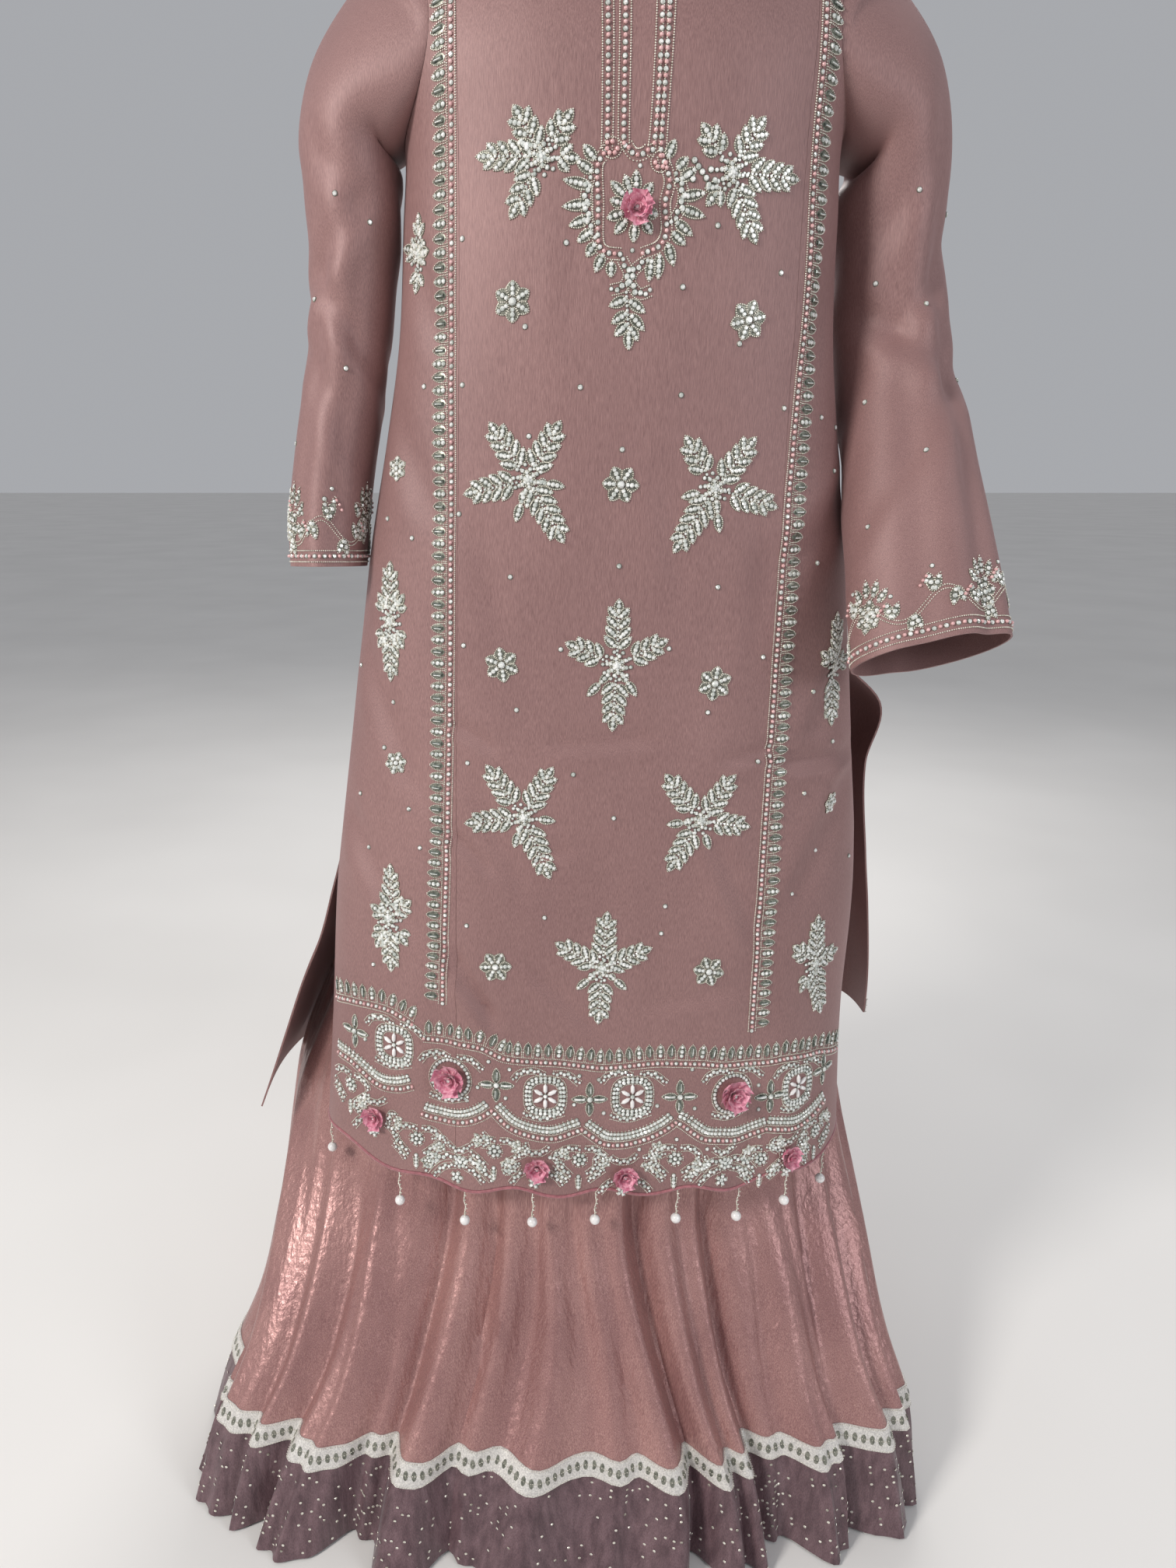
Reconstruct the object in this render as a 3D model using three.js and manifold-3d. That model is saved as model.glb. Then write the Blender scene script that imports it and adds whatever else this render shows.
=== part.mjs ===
// Shalwar kameez: a long embroidered tunic worn over a very full, floor length gathered shalwar,
// kept as hollow cloth in its worn form. Millimetres, +Z up, the front faces -Y, and +X is on the
// right of someone who looks at the front. The origin is at the base of the neck, midway between
// the neck ends of the two shoulder seams. "Drop" is a distance down from the shoulder line.

import * as THREE from 'three';
import { mergeVertices } from 'three/addons/utils/BufferGeometryUtils.js';
import Module from 'manifold-3d';

const wasm = await Module();
wasm.setup();

// Cloth walls and seams
const tunicWall = 1.8;
const sleeveWall = 1.6;
const skirtWall = 1.4;
const organzaWall = 1.2;
const laceWall = 1.0;
const bindingWall = 1.8;
const seamGap = 0.3;
const laceGap = 0.35;
const laceWidth = 19;

// Neck, shoulders and armholes
const neckHalfWidth = 85;
const neckFrontDepth = 92;
const neckBackDepth = 28;
const neckBinding = 7;
const neckCentreRise = 14;
const shoulderHalfWidth = 195;
const shoulderSlope = 0.45;
const shoulderFade = 260;
const chestRise = 170;
const armholeDrop = 190;
const armholeHollow = 30;
const armholeReach = 60;

// Tunic length, panels and slits
const hemDrop = 1140;
const slitTop = { left: 690, right: 640 };
const scallopPitch = 88;
const scallopHeight = 4.5;
const roundness = 2.5;
const backRoundness = 3;
const backSquaring = { from: 690, to: 1000 };
const frontCornerLift = { left: 22, right: 2, from: 150, to: 280 };
const backCornerLift = { left: -6, right: 40, from: 0, to: 330 };

// Shalwar heights
const waistTop = -400;
const skirtTop = -430;
const laceTop = -1395;
const skirtHem = -1415;
const flounceHem = -1497;
const skirtBackRoundness = 2.1;
const skirtSideTurn = 0.2;

// Counts of steps
const armholeSteps = 10;
const neckSteps = 10;
const shoulderSteps = 3;
const sideSteps = 4;
const backNeckSteps = 8;
const backShoulderSteps = 4;
const backLaceStart = 2;
const sleeveSteps = 12;
const columnsPerFold = 4;
const backFoldCount = 18;
const waistSteps = 36;
const pearlSides = 8;
const pearlRings = 6;

// Tunic sections: half width at the side seams, depth of the front and the back, and half width of
// the centre front panel, which ends at the two seams under the beaded bands
const tunicSections = [
  { drop: 0, half: 206, front: 110, back: 98, panel: 140 },
  { drop: 60, half: 204, front: 113, back: 100, panel: 139 },
  { drop: 120, half: 197, front: 116, back: 103, panel: 138 },
  { drop: 190, half: 185, front: 118, back: 106, panel: 137 },
  { drop: 260, half: 188, front: 118, back: 104, panel: 137 },
  { drop: 350, half: 194, front: 118, back: 101, panel: 138 },
  { drop: 430, half: 207, front: 118, back: 104, panel: 139 },
  { drop: 525, half: 225, front: 120, back: 112, panel: 140 },
  { drop: 595, half: 235, front: 122, back: 121, panel: 141 },
  { drop: 665, half: 245, front: 126, back: 129, panel: 142 },
  { drop: 725, half: 253, front: 130, back: 137, panel: 143 },
  { drop: 800, half: 263, front: 135, back: 149, panel: 143 },
  { drop: 865, half: 271, front: 141, back: 161, panel: 144 },
  { drop: 1000, half: 279, front: 152, back: 191, panel: 145 },
  { drop: 1140, half: 288, front: 176, back: 235, panel: 147 },
];

// Free edges below the slits: how far forward the front corners lie, and where the back edges run
const frontEdges = {
  left: [
    { drop: 690, y: 0 },
    { drop: 850, y: -15 },
    { drop: 1000, y: -38 },
    { drop: 1140, y: -62 },
  ],
  right: [
    { drop: 690, y: 0 },
    { drop: 1000, y: -12 },
    { drop: 1140, y: -22 },
  ],
};
const rightFrontInset = [
  { drop: 800, inset: 0 },
  { drop: 900, inset: 5 },
  { drop: 1000, inset: 11 },
  { drop: 1140, inset: 14 },
];
const backEdges = {
  left: [
    { drop: 840, half: 269, y: 0 },
    { drop: 893, half: 283, y: -3 },
    { drop: 946, half: 298, y: -8 },
    { drop: 994, half: 318, y: -13 },
    { drop: 1057, half: 340, y: -20 },
    { drop: 1101, half: 355, y: -26 },
    { drop: 1146, half: 371, y: -31 },
  ],
  right: [
    { drop: 686, half: 292, y: 12 },
    { drop: 755, half: 289, y: 22 },
    { drop: 866, half: 309, y: 40 },
    { drop: 943, half: 328, y: 60 },
    { drop: 1056, half: 351, y: 88 },
    { drop: 1140, half: 356, y: 98 },
  ],
};

// Soft folds of the tunic below the hips: where each lies across the width, as a share of the half
// width there, and how far the cloth stands in (minus) or out at the hem
const frontFolds = [
  { across: -0.78, width: 0.1, hemDepth: -4 },
  { across: -0.56, width: 0.07, hemDepth: -5 },
  { across: 0.16, width: 0.12, hemDepth: -2.5 },
  { across: 0.55, width: 0.08, hemDepth: -4 },
  { across: 0.8, width: 0.08, hemDepth: -3 },
];
const backFolds = [
  { across: -0.8, width: 0.1, hemDepth: 9 },
  { across: -0.5, width: 0.12, hemDepth: 16 },
  { across: -0.15, width: 0.14, hemDepth: 18 },
  { across: 0.22, width: 0.13, hemDepth: 18 },
  { across: 0.55, width: 0.12, hemDepth: 14 },
  { across: 0.82, width: 0.1, hemDepth: 8 },
];
const foldStart = 620;

// Shalwar sections: centre, half width, front and back depths as Y values, how square the front is
// (2 is an ellipse), and the share of the fold depth
const skirtSections = [
  { z: -430, x: 0, y: 5, half: 148, front: -92, back: 100, bend: 2, fold: 0.25 },
  { z: -560, x: 0, y: 8, half: 190, front: -104, back: 103, bend: 2, fold: 0.35 },
  { z: -700, x: 0, y: 20, half: 222, front: -112, back: 124, bend: 2, fold: 0.45 },
  { z: -860, x: -4, y: 55, half: 250, front: -124, back: 148, bend: 1.9, fold: 0.6 },
  { z: -1000, x: -8, y: 90, half: 284, front: -139, back: 178, bend: 1.8, fold: 0.7 },
  { z: -1147, x: -19, y: 75, half: 332, front: -155, back: 222, bend: 1.8, fold: 0.85 },
  { z: -1200, x: -20, y: 30, half: 338, front: -163, back: 238, bend: 1.85, fold: 0.95 },
  { z: -1275, x: -20, y: -50, half: 344, front: -202, back: 258, bend: 2.05, fold: 1 },
  { z: -1350, x: -23, y: -120, half: 357, front: -244, back: 276, bend: 2.25, fold: 1.05 },
  { z: -1395, x: -26, y: -148, half: 376, front: -270, back: 286, bend: 2.35, fold: 1.05 },
  { z: -1415, x: -28, y: -153, half: 384, front: -281, back: 292, bend: 2.4, fold: 1.1 },
  { z: -1497, x: -35, y: -162, half: 405, front: -322, back: 306, bend: 2.4, fold: 1.4 },
];
const skirtRows = [skirtTop, -700, -1000, -1147, -1200, -1290, laceTop, skirtHem];

// Valleys of the shalwar's front folds, as X near the hem, with their depth
const frontSkirtFolds = [
  { x: -355, depth: 8 },
  { x: -329, depth: 8 },
  { x: -299, depth: 9 },
  { x: -269, depth: 9 },
  { x: -244, depth: 8 },
  { x: -221, depth: 10 },
  { x: -191, depth: 15 },
  { x: -138, depth: 14 },
  { x: -78, depth: 12 },
  { x: -30, depth: 10 },
  { x: 23, depth: 12 },
  { x: 74, depth: 14 },
  { x: 122, depth: 12 },
  { x: 155, depth: 14 },
  { x: 187, depth: 12 },
  { x: 234, depth: 13 },
  { x: 277, depth: 10 },
  { x: 308, depth: 10 },
];
const foldReference = { x: -17, half: 369 };
const backFoldDepths = [11, 14, 12, 16, 13];

// Sleeve stations: centre, half sizes across (X) and front to back (Y), rise towards the front, and
// rise towards the outer side. X is measured outwards from the middle of the body.
const sleeves = {
  left: [
    { x: 228, y: 0, z: -170, across: 45, deep: 63, lean: 0, tilt: 0.3 },
    { x: 231, y: 0, z: -230, across: 43, deep: 60, lean: 0, tilt: 0.1 },
    { x: 235, y: 2, z: -300, across: 39, deep: 57, lean: 0, tilt: 0 },
    { x: 242, y: 3, z: -365, across: 38, deep: 56, lean: 0, tilt: 0 },
    { x: 254, y: -2, z: -430, across: 38, deep: 55, lean: 0.05, tilt: 0 },
    { x: 264, y: -8, z: -500, across: 38, deep: 56, lean: 0.08, tilt: 0 },
    { x: 266, y: -14, z: -546, across: 36, deep: 58, lean: 0.08, tilt: 0 },
  ],
  right: [
    { x: 232, y: 0, z: -170, across: 47, deep: 63, lean: 0, tilt: 0.3 },
    { x: 239, y: 3, z: -240, across: 46, deep: 60, lean: 0, tilt: 0.1 },
    { x: 247, y: 3, z: -310, across: 47, deep: 58, lean: 0.1, tilt: 0.05 },
    { x: 255, y: -10, z: -370, across: 50, deep: 56, lean: 0.3, tilt: 0.05 },
    { x: 259, y: -42, z: -435, across: 54, deep: 52, lean: 0.5, tilt: 0.1 },
    { x: 260, y: -88, z: -503, across: 58, deep: 46, lean: 0.6, tilt: 0.15 },
    { x: 260, y: -126, z: -560, across: 62, deep: 41, lean: 0.6, tilt: 0.18 },
    { x: 260, y: -156, z: -606, across: 64, deep: 38, lean: 0.6, tilt: 0.18 },
  ],
};
const sleeveBlend = 0.24;
const sleeveClearance = 3;
const sleeveClearanceStart = 0.2;
const sleeveFoldStart = 0.5;
const underarmGap = 0.6;
const underarmShare = 0.5;

// Lengthwise sleeve folds: the column where the trough lies, and its depth
const sleeveFolds = {
  left: [{ column: 3, depth: 5 }, { column: 6, depth: 4 }, { column: 15, depth: 5 }],
  right: [{ column: 3, depth: 9 }, { column: 6, depth: 6 }, { column: 14, depth: 6 }],
};

// Beaded drops under the front hem, as X at the root
const dropPlaces = [-282, -204, -137, -69, -6, 76, 140, 193, 241];
const dropStrand = 30;
const strandRadius = 1.2;
const strandSides = 4;
const strandOverlap = 1;
const pearlRadius = 5.2;
const hemEdging = 4;
const hemEdgingGap = 0.7;
const hemEdgingWall = 2.2;
const samePlace = 1;

// Places the value of one named column of a table at a position, on a smooth curve through its rows
function along(table, key, name, position) {
  const sign = Math.sign(table[table.length - 1][key] - table[0][key]);
  const places = table.map((row) => sign * row[key]);
  const wanted = sign * position;
  const last = table.length - 1;
  if (wanted <= places[0]) return table[0][name];
  if (wanted >= places[last]) return table[last][name];
  let i = 0;
  while (places[i + 1] < wanted) i += 1;
  const slope = (a, b) => (table[b][name] - table[a][name]) / (places[b] - places[a]);
  const span = places[i + 1] - places[i];
  const middle = slope(i, i + 1);
  const start = i > 0 ? (slope(i - 1, i) + middle) / 2 : middle;
  const end = i + 1 < last ? (slope(i + 1, i + 2) + middle) / 2 : middle;
  const t = (wanted - places[i]) / span;
  const h = t * t * (3 - 2 * t);
  const bend = t * (1 - t) * span;
  return table[i][name] * (1 - h) + table[i + 1][name] * h + bend * (start * (1 - t) - end * t);
}

function smooth(from, to, value) {
  const t = Math.min(1, Math.max(0, (value - from) / (to - from)));
  return t * t * (3 - 2 * t);
}

function mix(a, b, t) {
  return a + (b - a) * t;
}

// A power that keeps the sign of its base, for rounded sections
function signedPower(base, exponent) {
  return Math.sign(base) * Math.abs(base) ** exponent;
}

const section = (name, drop) => along(tunicSections, 'drop', name, drop);
const sideOf = (x) => (x < 0 ? 'left' : 'right');

// Where the front or back panel's side edge runs: on the shared side seam down to the slit, then free
function edgeOf(face, side, drop) {
  const half = section('half', drop);
  if (face === 'front') {
    const inset = side === 'right' ? along(rightFrontInset, 'drop', 'inset', drop) : 0;
    return { half: half - inset, y: along(frontEdges[side], 'drop', 'y', drop) };
  }
  if (drop <= slitTop[side]) return { half, y: 0 };
  const rows = [{ drop: slitTop[side], half: section('half', slitTop[side]), y: 0 }, ...backEdges[side]];
  return { half: along(rows, 'drop', 'half', drop), y: along(rows, 'drop', 'y', drop) };
}

function foldLift(face, across, drop) {
  const folds = face === 'front' ? frontFolds : backFolds;
  const strength = smooth(foldStart, hemDrop, drop);
  let lift = 0;
  for (const fold of folds) {
    lift += fold.hemDepth * strength * Math.exp(-(((across - fold.across) / fold.width) ** 2));
  }
  return lift;
}

// How square a face's section is: 2 is an ellipse, and more is fuller at the corners
function bendOf(face, drop) {
  const squared = smooth(backSquaring.from, backSquaring.to, drop);
  return face === 'back' ? mix(roundness, backRoundness, squared) : roundness;
}

// A point of the tunic's outer surface. The angle runs from -90 degrees at the left side seam, over 0
// at the centre, to 90 degrees at the right side seam, on the front and on the back alike.
function tunicPoint(face, angle, drop) {
  const side = sideOf(angle);
  const edge = edgeOf(face, side, drop);
  const power = 2 / bendOf(face, drop);
  const rise = Math.min(1, drop / chestRise);
  const closing = Math.sqrt(Math.max(0, 1 - (1 - rise) ** 2));
  const across = signedPower(Math.sin(angle), power);
  const outwards = face === 'front' ? -1 : 1;
  const depth = section(face, drop) - outwards * edge.y + foldLift(face, across, drop);
  const x = edge.half * across;
  const y = edge.y + outwards * closing * depth * signedPower(Math.cos(angle), power);
  const slope = 1 - smooth(0, shoulderFade, drop);
  const z = -drop - shoulderSlope * slope * Math.max(0, Math.abs(x) - neckHalfWidth);
  return new THREE.Vector3(x, y, z);
}

function tunicNormal(face, angle, drop) {
  const step = 0.01;
  const a = tunicPoint(face, angle + step / 10, drop);
  const b = tunicPoint(face, angle - step / 10, drop);
  const c = tunicPoint(face, angle, drop + step);
  const d = tunicPoint(face, angle, Math.max(0, drop - step));
  const normal = a.sub(b).cross(c.sub(d)).normalize();
  return face === 'front' ? normal.negate() : normal;
}

// The angle at which the tunic's surface has a given X
function angleAt(face, x, drop) {
  const edge = edgeOf(face, sideOf(x), drop);
  const share = Math.min(1, Math.abs(x) / edge.half);
  return Math.sign(x) * Math.asin(share ** (bendOf(face, drop) / 2));
}

// X of the armhole edge at a drop
function armholeX(drop) {
  const turn = Math.acos(1 - (2 * drop) / armholeDrop);
  const line = mix(shoulderHalfWidth, section('half', armholeDrop), drop / armholeDrop);
  return line - armholeHollow * Math.sin(turn) ** 2;
}

const armholeDrops = [];
for (let i = 0; i <= armholeSteps; i += 1) {
  armholeDrops.push((armholeDrop * (1 - Math.cos((Math.PI * i) / armholeSteps))) / 2);
}
const waistDrops = [270, 370, 470, 560];
const hipDrops = [780, 870, 960, 1050];
const hemDrops = [hemDrop - laceWidth, hemDrop];
const tunicDrops = [...armholeDrops, ...waistDrops, slitTop.right, slitTop.left, ...hipDrops, ...hemDrops];

// Scalloped front hem, and hems that lie a little higher at the corners
function hemLift(face, x) {
  const corner = face === 'back' ? backCornerLift : frontCornerLift;
  const lift = corner[sideOf(x)] * smooth(corner.from, corner.to, Math.abs(x));
  return face === 'back' ? lift : lift + scallopHeight * Math.cos((2 * Math.PI * x) / scallopPitch);
}

// Row drops for one column that starts at its own top, and ends on the shaped hem
function columnDrop(top, row, lift) {
  const drop = tunicDrops[row];
  const fromTop = top + (drop * (hemDrop - top)) / hemDrop;
  return fromTop - lift * smooth(slitTop.left, hemDrop, drop);
}

// A closed wall from a grid of outer points and normals; a grid may close on itself across its columns
function wall(outer, normals, thickness, closed) {
  const rows = outer.length;
  const columns = outer[0].length;
  const positions = [];
  for (const depth of [0, thickness]) {
    for (let r = 0; r < rows; r += 1) {
      for (let c = 0; c < columns; c += 1) {
        const p = outer[r][c];
        const n = normals[r][c];
        positions.push(p.x - n.x * depth, p.y - n.y * depth, p.z - n.z * depth);
      }
    }
  }
  const index = (layer, r, c) => layer * rows * columns + r * columns + (c % columns);
  const triangles = [];
  const quad = (a, b, c, d) => triangles.push(a, b, c, a, c, d);
  const spans = closed ? columns : columns - 1;
  for (let r = 0; r < rows - 1; r += 1) {
    for (let c = 0; c < spans; c += 1) {
      quad(index(0, r, c), index(0, r, c + 1), index(0, r + 1, c + 1), index(0, r + 1, c));
      quad(index(1, r, c), index(1, r + 1, c), index(1, r + 1, c + 1), index(1, r, c + 1));
    }
  }
  for (let c = 0; c < spans; c += 1) {
    const end = rows - 1;
    quad(index(0, 0, c), index(1, 0, c), index(1, 0, c + 1), index(0, 0, c + 1));
    quad(index(0, end, c), index(0, end, c + 1), index(1, end, c + 1), index(1, end, c));
  }
  if (!closed) {
    for (let r = 0; r < rows - 1; r += 1) {
      const end = columns - 1;
      quad(index(0, r, 0), index(0, r + 1, 0), index(1, r + 1, 0), index(1, r, 0));
      quad(index(0, r, end), index(1, r, end), index(1, r + 1, end), index(0, r + 1, end));
    }
  }
  return solidGeometry(positions, triangles);
}

// An indexed geometry whose faces point out
function solidGeometry(positions, triangles) {
  const geometry = new THREE.BufferGeometry();
  geometry.setAttribute('position', new THREE.Float32BufferAttribute(positions, 3));
  geometry.setIndex(volumeOf(positions, triangles) < 0 ? flipped(triangles) : triangles);
  return geometry;
}

function volumeOf(positions, triangles) {
  const corner = (i) => new THREE.Vector3().fromArray(positions, 3 * i);
  let volume = 0;
  for (let i = 0; i < triangles.length; i += 3) {
    const edge = corner(triangles[i]).cross(corner(triangles[i + 1]));
    volume += edge.dot(corner(triangles[i + 2])) / 6;
  }
  return volume;
}

function flipped(triangles) {
  const turned = [];
  for (let i = 0; i < triangles.length; i += 3) {
    turned.push(triangles[i], triangles[i + 2], triangles[i + 1]);
  }
  return turned;
}

// Normals of a grid that closes on itself, pointing away from its own middle line; level ones keep
// the edges of a wall flat
function ringNormals(rows, level) {
  return rows.map((row, r) => {
    const centre = row.reduce((sum, p) => sum.add(p), new THREE.Vector3()).divideScalar(row.length);
    return row.map((point, c) => {
      const around = row[(c + 1) % row.length].clone().sub(row[(c + row.length - 1) % row.length]);
      const below = rows[Math.min(rows.length - 1, r + 1)][c];
      const above = rows[Math.max(0, r - 1)][c];
      const normal = around.cross(below.clone().sub(above));
      if (level) normal.setZ(0);
      normal.normalize();
      return normal.dot(point.clone().sub(centre)) < 0 ? normal.negate() : normal;
    });
  });
}

const group = new THREE.Group();

const finishes = {
  tunic: new THREE.MeshStandardMaterial({ color: '#967370', roughness: 0.62, metalness: 0 }),
  shalwar: new THREE.MeshStandardMaterial({ color: '#b48787', roughness: 0.4, metalness: 0.05 }),
  organza: new THREE.MeshStandardMaterial({ color: '#7a6064', roughness: 0.5, metalness: 0 }),
  lace: new THREE.MeshStandardMaterial({ color: '#c9c4bd', roughness: 0.35, metalness: 0.5 }),
  pearl: new THREE.MeshStandardMaterial({ color: '#e6e4e2', roughness: 0.2, metalness: 0 }),
};

function addPiece(name, geometry, finish) {
  const mesh = new THREE.Mesh(geometry, finish.clone());
  mesh.name = name;
  group.add(mesh);
  return mesh;
}

// A tunic panel. Each column gives its top drop and its X at a drop; the panel's own side edges are
// drawn in by half a seam gap, and so is its top row where it is a shoulder seam.
function tunicPanel(name, face, columns) {
  const outer = [];
  const normals = [];
  tunicDrops.forEach((_, row) => {
    const points = [];
    const directions = [];
    columns.forEach((column) => {
      const level = columnDrop(column.top, row, 0);
      const lift = hemLift(face, tunicPoint(face, column.angle(level), level).x);
      const drop = columnDrop(column.top, row, lift);
      const angle = column.angle(drop);
      const point = tunicPoint(face, angle, drop);
      const normal = tunicNormal(face, angle, drop);
      const inwards = (column.inwards ?? 0) * (seamGap / 2);
      if (inwards) point.addScaledVector(seamDirection(face, angle, drop), inwards);
      if (row === 0 && column.top === 0) point.y += face === 'front' ? -seamGap / 2 : seamGap / 2;
      points.push(point);
      directions.push(normal);
    });
    outer.push(points);
    normals.push(directions);
  });
  addPiece(name, wall(outer, normals, tunicWall, false), finishes.tunic);
  return { outer, normals };
}

// The direction across a panel, towards +X, in the cloth
function seamDirection(face, angle, drop) {
  const step = 0.001;
  return tunicPoint(face, angle + step, drop).sub(tunicPoint(face, angle - step, drop)).normalize();
}

const neckTop = (x, depth) => depth * Math.sqrt(Math.max(0, 1 - (x / neckHalfWidth) ** 2));
const quarterTurn = Math.PI / 2;

// The angle of a side's outer edge: the armhole edge above the underarm, the side seam or edge below
function edgeAngle(face, drop) {
  return drop < armholeDrop ? angleAt(face, armholeX(drop), drop) : quarterTurn;
}

// Columns over the centre of a face: the neck edge, then the shoulder seam out to a given X
function centreColumns(depth, steps, seamSteps, outerX) {
  const columns = [];
  for (let i = seamSteps; i > 0; i -= 1) {
    columns.push({ top: 0, share: -mix(neckHalfWidth, outerX, i / seamSteps) / outerX });
  }
  for (let i = 0; i <= steps; i += 1) {
    const x = neckHalfWidth * Math.sin(mix(-quarterTurn, quarterTurn, i / steps));
    columns.push({ top: neckTop(x, depth), share: x / outerX });
  }
  for (let i = 1; i <= seamSteps; i += 1) {
    columns.push({ top: 0, share: mix(neckHalfWidth, outerX, i / seamSteps) / outerX });
  }
  columns[0].inwards = 1;
  columns[columns.length - 1].inwards = -1;
  return columns;
}

function frontSideColumns(side) {
  const sign = side === 'left' ? -1 : 1;
  const columns = [];
  for (let i = 0; i <= sideSteps; i += 1) {
    const share = i / sideSteps;
    const seam = (drop) => angleAt('front', sign * section('panel', drop), drop);
    const angle = (drop) => mix(seam(drop), sign * edgeAngle('front', drop), share);
    columns.push({ top: 0, angle, inwards: 0 });
  }
  columns[0].inwards = sign;
  columns[sideSteps].inwards = -sign;
  return side === 'left' ? columns.reverse() : columns;
}

function frontCentreColumns() {
  const columns = centreColumns(neckFrontDepth, neckSteps, shoulderSteps, section('panel', 0));
  columns.forEach((column) => {
    column.angle = (drop) => angleAt('front', column.share * section('panel', drop), drop);
  });
  return columns;
}

// The back is one piece, from armhole to armhole and below from edge to edge; its columns are even in
// width at the shoulders and even in angle from the chest down
function backColumns() {
  const columns = centreColumns(neckBackDepth, backNeckSteps, backShoulderSteps, shoulderHalfWidth);
  columns.forEach((column, i) => {
    const even = mix(-quarterTurn, quarterTurn, i / (columns.length - 1));
    column.angle = (drop) => {
      if (Math.abs(column.share) === 1) return column.share * edgeAngle('back', drop);
      const edge = drop < armholeDrop ? armholeX(drop) : section('half', drop);
      const straight = angleAt('back', column.share * edge, Math.min(drop, slitTop.right));
      return mix(straight, even, smooth(armholeDrop, slitTop.right, drop));
    };
  });
  return columns;
}

const frontCentre = tunicPanel('kameez_front_center', 'front', frontCentreColumns());
const frontLeft = tunicPanel('kameez_front_side_left', 'front', frontSideColumns('left'));
const frontRight = tunicPanel('kameez_front_side_right', 'front', frontSideColumns('right'));
const back = tunicPanel('kameez_back', 'back', backColumns());

// A ring of cloth edge points with their normals, and the direction in the cloth away from the piece
function edgeRing(points, normals, away) {
  return points.map((point, i) => {
    const next = points[(i + 1) % points.length];
    const previous = points[(i + points.length - 1) % points.length];
    const outwards = next.clone().sub(previous).cross(normals[i]).normalize();
    if (outwards.dot(away(point)) < 0) outwards.negate();
    return { point, normal: normals[i], outwards };
  });
}

// The binding stands on the neck edges of the centre front and the back
function addNeckBinding() {
  const frontRange = [shoulderSteps, shoulderSteps + neckSteps];
  const backRange = [backShoulderSteps, backShoulderSteps + backNeckSteps];
  const points = [];
  const normals = [];
  for (let c = frontRange[0]; c <= frontRange[1]; c += 1) {
    points.push(frontCentre.outer[0][c]);
    normals.push(frontCentre.normals[0][c]);
  }
  for (let c = backRange[1] - 1; c > backRange[0]; c -= 1) {
    points.push(back.outer[0][c]);
    normals.push(back.normals[0][c]);
  }
  const middle = new THREE.Vector3(0, 0, neckCentreRise);
  const ring = edgeRing(points, normals, (point) => middle.clone().sub(point));
  const row = (distance) => ring.map((edge) => edge.point.clone().addScaledVector(edge.outwards, distance));
  const rows = [row(seamGap), row(seamGap + neckBinding)];
  const directions = [ring.map((edge) => edge.normal), ring.map((edge) => edge.normal)];
  addPiece('neck_binding', wall(rows, directions, bindingWall, true), finishes.tunic);
}
addNeckBinding();

// X of the tunic's outer side at a given Y and height, or 0 ahead of it and behind it
function tunicSideX(y, z) {
  const drop = -z;
  const face = y < 0 ? 'front' : 'back';
  const share = Math.abs(y) / section(face, drop);
  return share >= 1 ? 0 : section('half', drop) * (1 - share ** roundness) ** (1 / roundness);
}

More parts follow.
